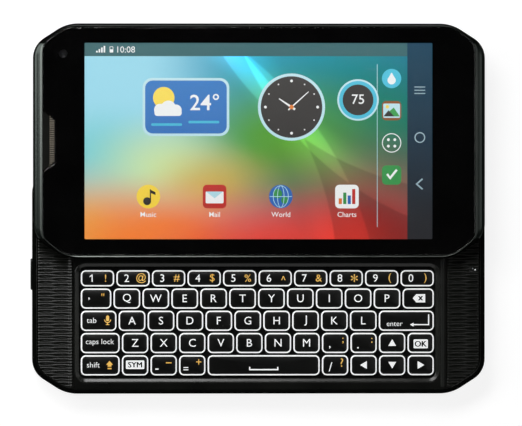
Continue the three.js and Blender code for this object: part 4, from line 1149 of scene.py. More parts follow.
def shift_arrow(x, y):
    head = [
        (-0.98, 0.12), (-0.52, 0.12), (-0.52, -0.42), (0.52, -0.42), (0.52, 0.12), (0.98, 0.12), (0, 1.2)
    ]
    return [sign([around(x, y, head)], AMBER), sign([strip(x - 0.54, y - 1.12, x + 0.54, y - 0.74)], AMBER)]


def backspace_tag(x, y):
    tag = around(x, y, [(-1.75, 0), (-0.75, -1.15), (1.75, -1.15), (1.75, 1.15), (-0.75, 1.15)])
    return [sign([tag]), *inked("x", 1.9, x + 0.45, y + 0.02)]


def enter_arrow(x, y):
    tail = [(2.7, -0.15), (2.7, 2.9), (2.4, 2.9), (2.4, 0.15)]
    head = [(-1.7, 0.15), (-1.7, 0.55), (-2.7, 0), (-1.7, -0.55), (-1.7, -0.15)]
    return [sign([around(x, y, tail[1:] + head + tail[:1])])]


def space_bracket(x, y):
    a, b, t = 4.1, 0.95, 0.34
    line = [(-a, b), (-a, 0), (a, 0), (a, b), (a - t, b), (a - t, t), (t - a, t), (t - a, b)]
    return [sign([around(x, y, line)])]


print("the microphone sign has parts", len(microphone(0, 0)))

# %% [markdown]
# ## Where each key lies
# A key with a joint of its own has its own solid, so its box says where it lies. Keys that are moulded as a
# group share one solid, so their places are worked out from the group's box, the even gap, and their
# neighbours.

# %% Places of the keys
rows = {
    "number": box("number_keys"), "top": box("key_q"), "home": box("key_a"), "low": box("key_z"),
    "last": box("key_space"),
}
row_y = {name: (b[0][1], b[1][1]) for name, b in rows.items()}
block_left, block_right = keys_low[0], keys_high[0]


def run(names, row, x0, x1):
    """Keys of even width between two places in a row."""
    width = (x1 - x0 - key_gap * (len(names) - 1)) / len(names)
    y0, y1 = row_y[row]
    lefts = [x0 + i * (width + key_gap) for i in range(len(names))]
    return {name: (x, y0, x + width, y1) for name, x in zip(names, lefts)}


def left_of(node):
    return box(node)[0][0] - key_gap


symbols_low, symbols_high = box("symbol_keys")

group_keys = {
    "number_keys": run("1234567890", "number", block_left, block_right),
    "left_function_keys": {
        **run(["quote"], "top", block_left, left_of("key_q")),
        **run(["tab"], "home", block_left, left_of("key_a")),
        **run(["caps"], "low", block_left, left_of("key_z")),
        **run(["shift"], "last", block_left, left_of("symbol_keys")),
    },
    "symbol_keys": run(["symbol", "minus", "equals"], "last", symbols_low[0], symbols_high[0]),
    "arrow_and_mark_keys": {
        **run(["comma", "period", "up", "ok"], "low", box("key_m")[1][0] + key_gap, block_right),
        **run(["slash", "left", "down", "right"], "last", box("key_space")[1][0] + key_gap, block_right),
    },
}
print({name: len(keys) for name, keys in group_keys.items()})

# %% [markdown]
# Most of the grouped keys carry two marks: a white one at the left, and an amber one at the right for the
# second layer. Each is given by its height and by how far it lies from the middle of its key.

# %% Legends of the grouped keys
second = dict(zip("1234567890", "!@#$%^&*()"))
thin = -0.012


def legends_of(name, x0, y0, x1, y1):
    x, y, w = (x0 + x1) / 2, (y0 + y1) / 2, x1 - x0
    if name in second:
        marks = [legend(name, 2.1, x - 0.19 * w, y)]
        tall = 3.4 if second[name] == "*" else 2.0
        return marks + [legend(second[name], tall, x + 0.24 * w, y, AMBER)]
    pairs = {
        "quote": [(",", 2.1, -2.0, -0.1, LEGEND), ('"', 2.1, 1.9, 1.0, AMBER)],
        "comma": [(",", 2.3, -1.5, -1.3, LEGEND), (";", 2.0, 2.2, 0.6, AMBER)],
        "period": [(".", 2.6, -1.6, -1.4, LEGEND), (":", 2.0, 2.3, 0.7, AMBER)],
        "slash": [("/", 2.5, -1.3, -0.5, LEGEND), ("?", 2.3, 1.9, 0.7, AMBER)],
        "minus": [("-", 2.6, -1.9, -1.1, LEGEND)],
        "equals": [("=", 2.0, -1.8, -1.0, LEGEND), ("+", 2.1, 1.8, 0.9, AMBER)],
        "tab": [("tab", 1.5, -2.0, 0.1, LEGEND)],
        "caps": [("caps lock", 1.46, -0.1, 0.15, LEGEND)],
        "shift": [("shift", 1.5, -1.95, 0.1, LEGEND)],
    }
    made = []
    for body, height, dx, dy, mark in pairs.get(name, []):
        made.append(legend(body, height, x + dx, y + dy, mark, thin if len(body) > 1 else 0.0))
    more = {
        "tab": lambda: microphone(x + 2.5, y + 0.2),
        "shift": lambda: shift_arrow(x + 2.6, y),
        "minus": lambda: [sign([strip(x + 0.6, y + 0.5, x + 2.2, y + 0.8)], AMBER)],
        "symbol": lambda: boxed("SYM", x, y + 0.12, 5.15, 2.4),
        "ok": lambda: boxed("OK", x, y - 0.3, 4.0, 2.5),
        "up": lambda: triangle(x, y, (0, 1)),
        "down": lambda: triangle(x, y, (0, -1)),
        "left": lambda: triangle(x, y, (-1, 0)),
        "right": lambda: triangle(x, y, (1, 0)),
    }
    return made + (more[name]() if name in more else [])


for group, keys in group_keys.items():
    forms = []
    for name, place in keys.items():
        forms += [key_shape(*place), *legends_of(name, *place)]
    piece(group + "_caps", forms, key_finishes, body_of(group), [group], 40, False)
print("groups of keys", len(group_keys))

# %% [markdown]
# Single keys: the letters, and backspace, enter and space. F and J have a small nub each, which tells the
# fingers where the home row is.

# %% Single keys
single = [node for node in frame["nodes"] if node.startswith("key_") and node != "key_mat"]
for node in single:
    (x0, y0, _), (x1, y1, _) = box(node)
    x, y = (x0 + x1) / 2, (y0 + y1) / 2
    name = node[4:]
    forms = [key_shape(x0, y0, x1, y1)]
    if len(name) == 1:
        forms.append(legend(name.upper(), 2.15, x, y))
        if name in "fj":
            forms.append(dome(x + 1.2, y - 1.5, 0.25, deck_top, deck_top + 0.18, BLACK, 12))
    elif name == "backspace":
        forms += backspace_tag(x + 0.2, y)
    elif name == "enter":
        forms += [legend("enter", 1.42, x - 3.3, y - 1.0, LEGEND, thin), *enter_arrow(x + 3.7, y - 1.15)]
    elif name == "space":
        forms += space_bracket(x, y - 1.45)
    piece(node + "_cap", forms, key_finishes, body_of(node), [node], 40, False)
print("single keys", len(single))

# %% [markdown]
# ## Lid
# The lid's shell is a ring with a steep side, a long shallow slope and a fine lip next to the glass. At the
# two ends the slope is wide and on the long sides it is narrow, so each level of the loft mixes the two
# outlines by two shares. Only the ends have the slope's bright, glossy finish. On the slanted corners and
# the long sides the same slope is given a black that reflects nothing, which paints shade there, and so are
# the shoulder and the wall that goes down under the glass. The lip's light grey paints its bright line, and
# at the two back corners the lip takes the finish of the slope of the ends, which paints it darker.

# %% Shell of the lid
low_z, seat_z, rim_z = lid_low[2], glass_low[2], lid_high[2]
under_glass, shelf_z = seat_z - 0.15, seat_z - 2.0
lid_levels = [
    (0.13, 0.3, low_z),
    (0.03, 0.07, low_z + 0.1),
    (0.0, 0.0, low_z + 0.35),
    (0.0, 0.0, seat_z - 1.2),
    (0.02, 0.06, seat_z - 0.7),
    (0.07, 0.16, seat_z - 0.35),
    (0.14, 0.26, seat_z - 0.12),
    (0.26, 0.34, seat_z + 0.04),
    (0.38, 0.38, seat_z + 0.14),
    (0.71, 0.41, seat_z + 0.31),
    (0.885, 0.44, rim_z - 0.03),
    (0.91, 0.46, rim_z),
    (0.93, 0.48, rim_z - 0.01),
    (0.957, 0.66, rim_z - 0.06),
    (0.96, 0.93, rim_z - 0.2),
    (0.96, 0.95, under_glass),
    (1.9, 2.6, under_glass),
    (1.9, 2.6, shelf_z),
    (1.07, 2.6, shelf_z),
    (1.07, 2.6, low_z + 0.8),
    (0.57, 1.4, low_z + 0.8),
    (0.57, 1.4, low_z),
]


glass_margin = 2.8


def lid_outline(share_x, share_y):
    """Past the glass's edge, the outline just moves on in by the same step."""
    if share_x <= 1 and share_y <= 1:
        return outline(between(lid_edge, glass_edge, share_x, share_y))
    return outline(inset(lid_edge, share_x * glass_margin))


SIDE, BEVEL, LIP, PAINTED_SHADE, CREST = range(5)
lid_marks = [SIDE] * 3 + [PAINTED_SHADE] * 3 + [BEVEL] * 3 + [CREST] + [LIP] * 3 + [PAINTED_SHADE] * 5
lid_marks += [SIDE] * (len(lid_levels) - len(lid_marks))
shell = loft([(lid_outline(a, b), z) for a, b, z in lid_levels], lid_marks, True)
facet_end = lid_edge["half"][1] - lid_edge["legs"][1] + 0.6
slant_start = lid_edge["half"][0] - lid_edge["legs"][0]
# Past the ends, the bevel and crest of the slope take the black that reflects nothing, a painted shade. At
# the back slants the lip takes the bevel's darker finish, which paints shade on it too.
for i, face in enumerate(shell[1]):
    x, y = [sum(shell[0][point][axis] for point in face) / len(face) for axis in (0, 1)]
    if abs(y) > facet_end:
        if shell[2][i] in (BEVEL, CREST):
            shell[2][i] = PAINTED_SHADE
        elif shell[2][i] == LIP and y > 0 and abs(x) > slant_start:
            shell[2][i] = BEVEL
shelf = upright(outline(inset(lid_edge, 2.9)), shelf_z, seat_z - 1.6)
lid_forms = [moved(form, y=lid_y) for form in (shell, shelf)]
lid_finishes = [lid_black, lid_bevel, lid_lip_painted_highlight, black_painted_shade, lid_lip_painted_highlight]
piece("lid_shell", lid_forms, lid_finishes, "lid", ["lid_frame"], 50)
print("lid faces", len(shell[1]))

# %% [markdown]
# ## Cover glass and its print
# The glass is a slab with a softly rounded upper edge and a notch for the earpiece. The black print under
# it has a window for the screen and a round hole for the front camera.

# %% Glass slab
notch_depth, notch_inner, notch_more = 3.4, 5.9, 2.55


def notch_corners(edge, grown):
    x = -edge["half"][0]
    inner_x = notch_depth + grown - glass_edge["half"][0]
    a, b = notch_inner + notch_more + grown, notch_inner + grown
    return [(x, a, 0.5), (inner_x, b, 0.5), (inner_x, -b, 0.5), (x, -a, 0.5)]


def glass_line(distance):
    edge = inset(glass_edge, distance)
    return outline(edge, 8, notch_corners(edge, distance))


glass_bottom, glass_top = glass_low[2] + 0.02, glass_high[2]
edge_profile = [(0.06, glass_bottom), (0.0, glass_bottom + 0.06)]
for inward, drop in ((0.0, 0.3), (0.04, 0.15), (0.14, 0.05), (0.3, 0.01), (0.5, 0.0)):
    edge_profile.append((inward, glass_top - drop))
slab = loft([(glass_line(d), z) for d, z in edge_profile])
piece("glass_slab", [moved(slab, y=lid_y)], [cover_glass], "lid", ["cover_glass"], 30)

screen_w, screen_d, screen_x = 97.2, 54.8, -0.2
camera_low, camera_high = box("front_camera")
eye_x, eye_y = middle("front_camera")[0], middle("front_camera")[1] - lid_y
openings = [rectangle(screen_x, 0, screen_w, screen_d, 0.25, 3), circle(eye_x, eye_y, 1.2)]
border = flat([glass_line(0.03), *openings], glass_bottom - 0.07, glass_bottom - 0.02, 0)
piece("glass_print", [moved(border, y=lid_y)], [black_print], "lid", ())
print("glass", round(glass_bottom, 2), "to", round(glass_top, 2))

# %% [markdown]
# The front camera lies under a round hole in the print: a ring, a cone and a small bulging lens.

# %% Front camera
eye_z = camera_high[2]
eye_outer, eye_side = 1.35, 5.6
eye_bowl = [(0.5, -0.3), (eye_outer, -0.3), (eye_outer, 0.1), (1.08, 0.1), (1.0, 0.05)]
eye_bowl += [(0.92, -0.015), (0.84, -0.065), (0.76, -0.095), (0.68, -0.11), (0.5, -0.12)]
eye = [turned_ring(eye_x, eye_y, [(radius, eye_z + z) for radius, z in eye_bowl], 48)]
eye.append(dome(eye_x, eye_y, 0.5, eye_z - 0.3, eye_z - 0.16, 1, 32))
eye.append(upright(rectangle(eye_x, eye_y, eye_side, eye_side, 0.3), camera_low[2], eye_z - 0.25))
eye = [moved(form, y=lid_y) for form in eye]
piece("front_camera_eye", eye, [eye_black, lens_glass], "lid", ["front_camera"], 30)
print("front camera at", round(eye_x, 1), round(eye_y, 1))

# %% [markdown]
# ## Earpiece
# A dark plate fills the notch, and a row of fine bronze bars on it covers the earpiece. They are real bars,
# close enough together that they read as a woven mesh from a little way off.

# %% Earpiece bars
ear_low, ear_high = box("earpiece_grille")
plate_line = rounded(
    [
        (ear_low[0] + 0.02, notch_inner + notch_more - 0.25, 0.05),
        (ear_low[0] + 0.02, 0.25 - notch_inner - notch_more, 0.05),
        (ear_high[0], 0.2 - notch_inner, 0.4),
        (ear_high[0], notch_inner - 0.2, 0.4),
    ],
    4,
)
ear_top = ear_high[2]
ear_plate = flat([plate_line], ear_low[2] + 0.02, ear_top - 0.12, 0, 0.05)
mesh_x0, mesh_x1, mesh_pitch, bar_width, bar_count = ear_high[0] - 1.4, ear_high[0] + 0.02, 0.59, 0.36, 24
bars = []
for i in range(bar_count):
    y = (i - (bar_count - 1) / 2) * mesh_pitch
    reach_x = mesh_x1 - max(0, abs(y) - 5.6) * 0.95
    bar_line = rectangle((mesh_x0 + reach_x) / 2, y, reach_x - mesh_x0, bar_width, 0.15, 2)
    bars.append(flat([bar_line], ear_top - 0.2, ear_top + 0.02, 1, 0.05))
ear = [moved(form, y=lid_y) for form in (ear_plate, *bars)]
piece("earpiece_mesh", ear, [deck_plastic, bronze], "lid", ["earpiece_grille"], 40, False)
print("earpiece bars", len(bars))

# %% [markdown]
# ## The lit screen
# The picture is light, not paint, so its materials emit. A group gives them the faint unevenness of a real
# display: a fine raster, and a slow fall of brightness towards its lower edge.

# %% Glow of a display
pixel, screen_fall = 0.2 * MM, 0.12
glow, given, out = new_group("display_glow", {"Depth": screen_fall}, ["Glow"])
parts = glow.nodes.new("ShaderNodeSeparateXYZ")
glow.links.new(glow.nodes.new("ShaderNodeTexCoord").outputs["Object"], parts.inputs[0])
raster_x = maths(glow, "SINE", maths(glow, "MULTIPLY", parts.outputs["X"], 2 * math.pi / pixel), 0)
raster_y = maths(glow, "SINE", maths(glow, "MULTIPLY", parts.outputs["Y"], 2 * math.pi / pixel), 0)
raster = ramp(glow, maths(glow, "MULTIPLY", raster_x, raster_y), -1, 1, 0.97, 1.0)
fall = ramp(glow, parts.outputs["Y"], (lid_y - 27) * MM, (lid_y + 27) * MM, 0.0, 1.0)
kept = maths(glow, "SUBTRACT", 1.0, given.outputs["Depth"])
lifted = maths(glow, "ADD", kept, maths(glow, "MULTIPLY", fall, given.outputs["Depth"]))
glow.links.new(maths(glow, "MULTIPLY", raster, lifted), out.inputs["Glow"])
black = (0, 0, 0, 1)
of_screen = {"Base_Color": black, "Roughness": 0.4, "Emission_Strength": 1.0}


def lit(name, low, high=None):
    """A colour of the screen, which may run into a second one at its upper end."""
    made, tree, shader = new_material(name, **of_screen)
    shine, body = use(tree, glow, "Depth", screen_fall)["Glow"], colour(*low)
    if high:
        body = mixed(tree, ramp(tree, shine, 1 - screen_fall, 1.0), body, colour(*high))
    tree.links.new(mixed(tree, shine, black, body), shader.inputs["Emission Color"])
    return made


print("group", glow.name)

# %% [markdown]
# The picture behind the icons is a field of soft colour: pale sky blue, turquoise, green, yellow and warm
# orange, with a few wide arcs across it. Each patch is a soft disc, given by its middle and its size, that
# is mixed over the last.

# %% Field of colour
picture, tree, shader = new_material("screen_picture", **of_screen)
where = tree.nodes.new("ShaderNodeTexCoord").outputs["Object"]


def disc_mask(x, y, radius, soft, squeeze=1.0):
    shift = tree.nodes.new("ShaderNodeMapping")
    shift.inputs["Location"].default_value = (-x / radius, -(y + lid_y) * squeeze / radius, 0)
    shift.inputs["Scale"].default_value = (1 / (radius * MM), squeeze / (radius * MM), 0)
    tree.links.new(where, shift.inputs["Vector"])
    far = tree.nodes.new("ShaderNodeVectorMath")
    far.operation = "LENGTH"
    tree.links.new(shift.outputs["Vector"], far.inputs[0])
    node = tree.nodes.new("ShaderNodeMapRange")
    node.interpolation_type = "SMOOTHSTEP"
    node.inputs["From Min"].default_value, node.inputs["From Max"].default_value = 1 + soft, 1 - soft
    tree.links.new(far.outputs["Value"], node.inputs["Value"])
    return node.outputs[0]


patches = [
    (-46, 26, 46, 0.7, 1.0, (158, 220, 238), 1.0),
    (40, 26, 44, 0.7, 1.0, (10, 92, 160), 0.95),
    (12, 22, 28, 0.6, 1.2, (26, 160, 190), 0.85),
    (32, -2, 30, 0.7, 1.2, (14, 120, 84), 0.9),
    (4, 0, 20, 0.9, 1.5, (84, 156, 34), 0.95),
    (-44, -4, 14, 0.9, 1.5, (104, 202, 196), 0.6),
    (-26, -8, 14, 0.9, 1.4, (214, 232, 150), 0.8),
    (-12, -12, 12, 0.9, 1.7, (210, 166, 34), 0.75),
    (-50, -26, 18, 0.8, 1.4, (230, 176, 74), 0.95),
    (-26, -28, 26, 0.7, 2.1, (246, 120, 22), 0.95),
    (32, -28, 30, 0.8, 1.5, (132, 22, 16), 1.0),
    (4, -30, 22, 0.8, 2.0, (232, 50, 32), 0.85),
]
field = (0.1, 0.5, 0.62, 1)
for x, y, radius, soft, squeeze, tint, most in patches:
    mask = maths(tree, "MULTIPLY", disc_mask(x, y, radius, soft, squeeze), most)
    field = mixed(tree, mask, field, colour(*tint))
arcs = [(-70, -40, 92, 0.05), (-62, -52, 96, 0.05), (76, 60, 88, 0.06), (60, 70, 84, 0.05)]
for x, y, radius, soft in arcs:
    sharp_disc, soft_disc = disc_mask(x, y, radius, 0.004), disc_mask(x, y, radius * (1 - soft), 0.05)
    rim_mask = maths(tree, "SUBTRACT", sharp_disc, soft_disc, True)
    brighter = tree.nodes.new("ShaderNodeVectorMath")
    brighter.operation = "SCALE"
    tree.links.new(field, brighter.inputs[0])
    gain = maths(tree, "ADD", maths(tree, "MULTIPLY", rim_mask, 0.4), 1.0)
    tree.links.new(gain, brighter.inputs["Scale"])
    field = brighter.outputs[0]
shine = use(tree, glow, "Depth", 0.04)["Glow"]
tree.links.new(mixed(tree, shine, black, field), shader.inputs["Emission Color"])
print("patches", len(patches), "arcs", len(arcs))

# %% [markdown]
# The panel is a slab with that field on its upper face. It replaces the frame's panel, and stays a hair
# under the print.

# %% Panel
panel_low, panel_high = box("display_panel")
panel_w, panel_d = panel_high[0] - panel_low[0], panel_high[1] - panel_low[1]
face_z, lit_half = glass_bottom - 0.12, 49
back = upright(rectangle(0, 0, panel_w, panel_d, 0.8), panel_low[2], face_z - 0.02)
face = flat([strip(screen_x - lit_half, -27.8, screen_x + lit_half, 27.8)], face_z - 0.02, face_z, 1)
panel = [moved(form, y=lid_y) for form in (back, face)]
piece("display_body", panel, [inner_plastic, picture], "lid", ["display_panel"])
print("panel", round(panel_w, 1), "by", round(panel_d, 1))

# %% [markdown]
# ## Things on the screen
# A dark strip along the top, a darker one down the right-hand end, a clock face, a card with a sun, a dial,
# and rows of plain icons. They are thin plates in front of the field, each a little higher than the one
# that it lies on.

# %% Screen finishes
screen_finishes = {
    "strip": lit("lit_strip", (34, 84, 92), (64, 108, 112)),
    "night": lit("lit_night", (24, 26, 32), (14, 70, 96)),
    "face": lit("lit_face", (34, 32, 32), (74, 72, 70)),
    "pale": lit("lit_pale", (176, 220, 232), (208, 238, 244)),
    "white": lit("lit_white", (244, 246, 246)),
    "blue": lit("lit_blue", (36, 96, 178), (74, 140, 206)),
    "sun": lit("lit_sun", (250, 214, 60), (255, 232, 110)),
    "orange": lit("lit_orange", (222, 110, 34), (242, 146, 60)),
    "red": lit("lit_red", (190, 42, 36), (220, 70, 56)),
    "green": lit("lit_green", (44, 140, 70), (84, 180, 96)),
    "cyan": lit("lit_cyan", (52, 172, 206), (96, 206, 230)),
    "brown": lit("lit_brown", (118, 66, 34), (168, 104, 58)),
    "grey": lit("lit_grey", (150, 176, 186), (178, 200, 208)),
}
screen_names = list(screen_finishes)
LAYER = 0.006
shown = []


def show(name, lines, layer):
    """Puts a plate on the screen: its finish, its outlines, and how many layers it lies above the field."""
    z = face_z + LAYER * layer
    shown.append(flat(lines, z, z + LAYER * 0.8, screen_names.index(name)))


def say(name, body, height, x, y, layer, weight=0.0):
    z = face_z + LAYER * layer
    shown.append(word(body, height, x, y, z, z + LAYER * 0.8, screen_names.index(name), weight))


def panel_plate(name, x, y, width, depth, radius, layer, steps=6):
    show(name, [rectangle(x, y, width, depth, radius, steps)], layer)


def disc(name, x, y, radius, layer, hole=0.0):
    show(name, [circle(x, y, radius, 64)] + ([circle(x, y, hole, 64)] if hole else []), layer)


print("screen finishes", len(screen_names))

# %% [markdown]
# Strips and their signs: bars of reception, a battery and the time on the upper strip, and three control
# signs down the right-hand one.

# %% Strips
left, right, top, bottom = screen_x - lit_half, screen_x + lit_half, 27.6, -27.6
seen_right, seen_top = screen_x + screen_w / 2, screen_d / 2
show("strip", [strip(left, seen_top - 3.7, right, top)], 1)
show("night", [strip(seen_right - 7.0, bottom, right, top)], 2)
for i in range(4):
    x0, x1 = -45.6 + i * 0.7, -45.15 + i * 0.7
    show("white", [strip(x0, seen_top - 2.7, x1, seen_top - 2.2 + i * 0.45)], 3)
cell_sizes = ((1.0, 1.7, 0.15), (0.7, 1.4, 0.05))
show("white", [rectangle(-41.3, seen_top - 1.85, w, h, corner, 2) for w, h, corner in cell_sizes], 3)
show("white", [strip(-41.65, seen_top - 2.55, -40.95, seen_top - 1.8)], 3)
say("white", "10:08", 1.7, -37.2, seen_top - 1.85, 3)
bar_x = seen_right - 3.5
for i in range(3):
    show("grey", [strip(bar_x - 1.5, 13.2 + i * 0.9, bar_x + 1.5, 13.45 + i * 0.9)], 3)
show("grey", [circle(bar_x, 1.0, 1.5), circle(bar_x, 1.0, 1.2)], 3)
back_sign = [(-1.2, -12), (0.6, -13.6), (0.9, -13.3), (-0.6, -12), (0.9, -10.7), (0.6, -10.4)]
show("grey", [[(bar_x + a, b) for a, b in back_sign]], 3)
print("strip signs", len(shown))

# %% [markdown]
# The clock is a dark face in a pale ring with twelve dots and two hands. The card beside it shows a sun
# behind a cloud and a temperature, and the dial at its other side shows a number.

# %% Clock, card and dial


def hand(x, y, angle, length, width, layer):
    """A hand that tapers to half its width, and sticks out a little behind the axle."""
    ux, uy = math.sin(math.radians(angle)), math.cos(math.radians(angle))
    px, py = uy * width, -ux * width
    ends = ((-1.2, 1), (length, 0.5), (length, -0.5), (-1.2, -1))
    show("white", [[(x + ux * a + px * b, y + uy * a + py * b) for a, b in ends]], layer)


clock_x, clock_y, dots_radius = 9.0, 9.5, 7.3
disc("pale", clock_x, clock_y, 9.4, 4)
disc("face", clock_x, clock_y, 8.6, 5)
for i in range(12):
    turn, size = math.radians(30 * i), 0.4 if i % 3 == 0 else 0.22
    disc("white", clock_x + dots_radius * math.sin(turn), clock_y + dots_radius * math.cos(turn), size, 6)
hand(clock_x, clock_y, 304, 4.2, 0.32, 6)
hand(clock_x, clock_y, 48, 6.4, 0.22, 7)
disc("orange", clock_x, clock_y, 0.6, 8)

card_x, card_y = -20.5, 9.5
panel_plate("pale", card_x, card_y, 24.2, 16.2, 2.6, 4)
panel_plate("blue", card_x, card_y, 22.8, 14.8, 2.1, 5)
disc("sun", card_x - 6.2, card_y + 2.6, 3.0, 6)
for dx, dy, radius in ((-7.2, -0.8, 1.7), (-4.9, -0.3, 2.1), (-2.8, -0.9, 1.6)):
    disc("white", card_x + dx, card_y + dy, radius, 7)
panel_plate("white", card_x - 5.0, card_y - 1.6, 7.6, 1.8, 0.8, 7)
say("white", "24\N{DEGREE SIGN}", 4.2, card_x + 5.2, card_y + 1.4, 6, 0.05)
panel_plate("cyan", card_x + 5.0, card_y - 4.2, 8.6, 0.7, 0.3, 6)
panel_plate("cyan", card_x - 5.4, card_y - 4.9, 8.6, 0.7, 0.3, 6)

dial_x, dial_y = 27.6, 11.5
for name, radius, layer in (("pale", 5.8, 4), ("cyan", 5.3, 5), ("face", 4.3, 6)):
    disc(name, dial_x, dial_y, radius, layer)
say("white", "75", 2.6, dial_x, dial_y + 0.2, 7, 0.02)
print("screen parts", len(shown))

# %% [markdown]
# The icons are of the kinds that any device has. A row of four stands along the bottom, each with its name
# under it: a note, a letter, a globe and bars.

# %% The row of icons
icon_y, icon_half, small_half = -15.5, 3.3, 2.7


def icon_base(name, x, y, kind="square", half=icon_half):
    square = rectangle(x, y, 2 * half, 2 * half, 1.2, 5)
    show(name, [square if kind == "square" else circle(x, y, half, 48)], 5)


def note_icon(x, y):
    icon_base("sun", x, y, "disc")
    disc("face", x - 0.35, y - 1.3, 1.1, 6)
    show("face", [strip(x + 0.4, y - 1.2, x + 0.75, y + 2.0)], 6)
    show("face", [around(x, y, [(0.4, 2.0), (0.4, 1.1), (2.0, 0.4), (2.0, 1.2)])], 7)


def letter_icon(x, y):
    icon_base("red", x, y)
    panel_plate("white", x, y - 0.2, 5.0, 3.4, 0.3, 6, 2)
    show("pale", [around(x, y, [(-2.5, 1.5), (0, -0.5), (2.5, 1.5)])], 7)
    show("red", [strip(x - 2.5, y + 1.4, x + 2.5, y + 1.6)], 8)


def globe_icon(x, y):
    icon_base("blue", x, y, "disc")
    disc("green", x - 0.9, y + 0.8, 1.3, 6)
    disc("green", x + 1.1, y - 1.0, 1.0, 6)
    for across in (1.0, 2.2):
        show("pale", [ellipse(x, y, across, 3.1, 40), ellipse(x, y, across - 0.18, 2.95, 40)], 7)
    show("pale", [strip(x - 3.1, y - 0.09, x + 3.1, y + 0.09)], 7)


def bars_icon(x, y):
    icon_base("white", x, y)
    for i, (name, height) in enumerate((("orange", 1.6), ("green", 3.2), ("blue", 2.4), ("red", 4.2))):
        show(name, [strip(x - 2.3 + i * 1.25, y - 2.1, x - 1.4 + i * 1.25, y - 2.1 + height)], 6)


row = [
    ("Music", note_icon, -31.0),
    ("Mail", letter_icon, -12.5),
    ("World", globe_icon, 6.0),
    ("Charts", bars_icon, 24.5),
]
for label, draw, x in row:
    draw(x, icon_y)
    say("white", label, 1.35, x, icon_y - 5.0, 5, 0.01)
print("icons in the row", len(row))

# %% [markdown]
# A column of four smaller ones stands at the right, with a fine line beside it: a drop, a hill, a ring and
# a tick.

# %% The column of icons


def drop_icon(x, y):
    icon_base("cyan", x, y, "disc", small_half)
    show("white", [around(x, y, [(0, 1.7), (-1.1, -0.2), (1.1, -0.2)])], 6)
    disc("white", x, y - 0.5, 1.15, 6)


def hill_icon(x, y):
    icon_base("brown", x, y, "square", small_half)
    panel_plate("pale", x, y, 4.7, 4.0, 0.3, 6, 2)
    show("green", [around(x, y, [(-2.3, -1.6), (0.6, 0.9), (2.3, -1.6)])], 7)
    show("face", [around(x, y, [(-2.3, -1.6), (-0.9, 0.1), (0.8, -1.6)])], 8)
    disc("sun", x - 1.2, y + 1.1, 0.5, 7)


def ring_icon(x, y):
    disc("white", x, y, small_half, 5, 2.45)
    for dx in (-0.9, 0.9):
        for dy in (-0.9, 0.9):
            disc("white", x + dx, y + dy, 0.4, 5)


def tick_icon(x, y):
    icon_base("green", x, y, "square", small_half)
    tick = [(-1.5, 0.1), (-0.4, -1.3), (1.7, 1.3), (1.2, 1.7), (-0.45, -0.4), (-1.0, 0.5)]
    show("white", [around(x, y, tick)], 6)


for draw, y in ((drop_icon, 17.5), (hill_icon, 8.5), (ring_icon, -0.5), (tick_icon, -9.5)):
    draw(37.0, y)
show("pale", [strip(32.9, -24, 33.05, 21.5)], 4)
print("screen parts", len(shown))

# %% [markdown]
# All the plates of the screen become one piece, because nobody takes a single icon off a display.

# %% Put the screen together
signs = [moved(form, y=lid_y) for form in shown]
piece("screen_signs", signs, list(screen_finishes.values()), "lid", (), 30, False)
print("screen parts in one piece", len(signs))

# %% [markdown]
# ## What stays as the frame has it
# Pieces whose solid shape is right keep it and only get a finish: the slide, the plate behind the lid, the
# sockets, the rubber mat, and all that is inside.

# %% Finishes for the frame's own pieces
kept = {
    "slide_plate": steel,
    "lid_back_plate": dark_steel,
    "micro_usb_port": steel,
    "micro_hdmi_port": steel,
    "headset_jack": inner_plastic,
    "loudspeaker": inner_plastic,
    "earpiece_speaker": inner_plastic,
    # The mat's near-black paints the shade between the keys.
    "key_mat": mat_rubber_painted_shade,
    "keyboard_board": board_green,
    "main_board": board_green,
    "battery": battery_wrap,
}
for name, finish in kept.items():
    node = frame["nodes"][name]
    node.data.materials.clear()
    node.data.materials.append(finish)
print("kept", len(kept))

# %% [markdown]
# Two pieces cross from the base to the lid: the wire of the spring that snaps the lid open, and the ribbon
# that carries the picture to the screen. Each has the frame's own form and stays where it lies.

# %% Spring and ribbon


def frame_part(node):
    solid = frame["nodes"][node]
    points = [tuple(v / MM for v in solid.matrix_world @ corner.co) for corner in solid.data.vertices]
    faces = [tuple(face.vertices) for face in solid.data.polygons]
    return points, faces, [0] * len(faces)


level_half = 0.6
low_level, high_level = box("lid_back_plate")[1][2] + level_half, shelf_z - level_half
crossing = ("base", "lid", (0, 0, low_level * MM), (0, 0, high_level * MM))
piece("spring_wire", [frame_part("slide_spring")], [steel], crossing, ["slide_spring"], 60, False)
piece("ribbon", [frame_part("flex_cable")], [cable_film], crossing, ["flex_cable"], 40, False)
print("crossing between", round(low_level, 2), "and", round(high_level, 2))

# %% [markdown]
# ## Floor and light
# The phone lies on a white floor. Its whiteness comes from the floor itself: part of it is a glow that only
# the camera and reflections see, so the lamps can stay low and the black phone stays black. The phone's
# shadow still falls on it. Seen from below the floor lets the view through, and light too, so the phone's
# back can be looked at.

# %% Floor
floor_half, floor_z = 6.0, -2e-5
corners = [(x * floor_half, y * floor_half, floor_z) for x, y in ((-1, -1), (1, -1), (1, 1), (-1, 1))]
mesh = bpy.data.meshes.new("floor")
mesh.from_pydata(corners, [], [(0, 1, 2, 3)])
floor = bpy.data.objects.new("floor", mesh)
bpy.context.scene.collection.objects.link(floor)
white = (1, 1, 1, 1)
plain = {"Roughness": 0.9, "Specular_IOR_Level": 0.0, "Emission_Color": white}
floor_white, tree, shader = new_material("floor_white", **plain)
mottle = use(tree, grain, "Per metre", 40.0)["Mottle"]
tree.links.new(
    mixed(tree, mottle, (0.33, 0.33, 0.33, 1), (0.35, 0.35, 0.35, 1)), shader.inputs["Base Color"]
)
light_path = tree.nodes.new("ShaderNodeLightPath")
seen = maths(tree, "ADD", light_path.outputs["Is Camera Ray"], light_path.outputs["Is Glossy Ray"], True)
seen = maths(tree, "ADD", seen, light_path.outputs["Is Transmission Ray"], True)
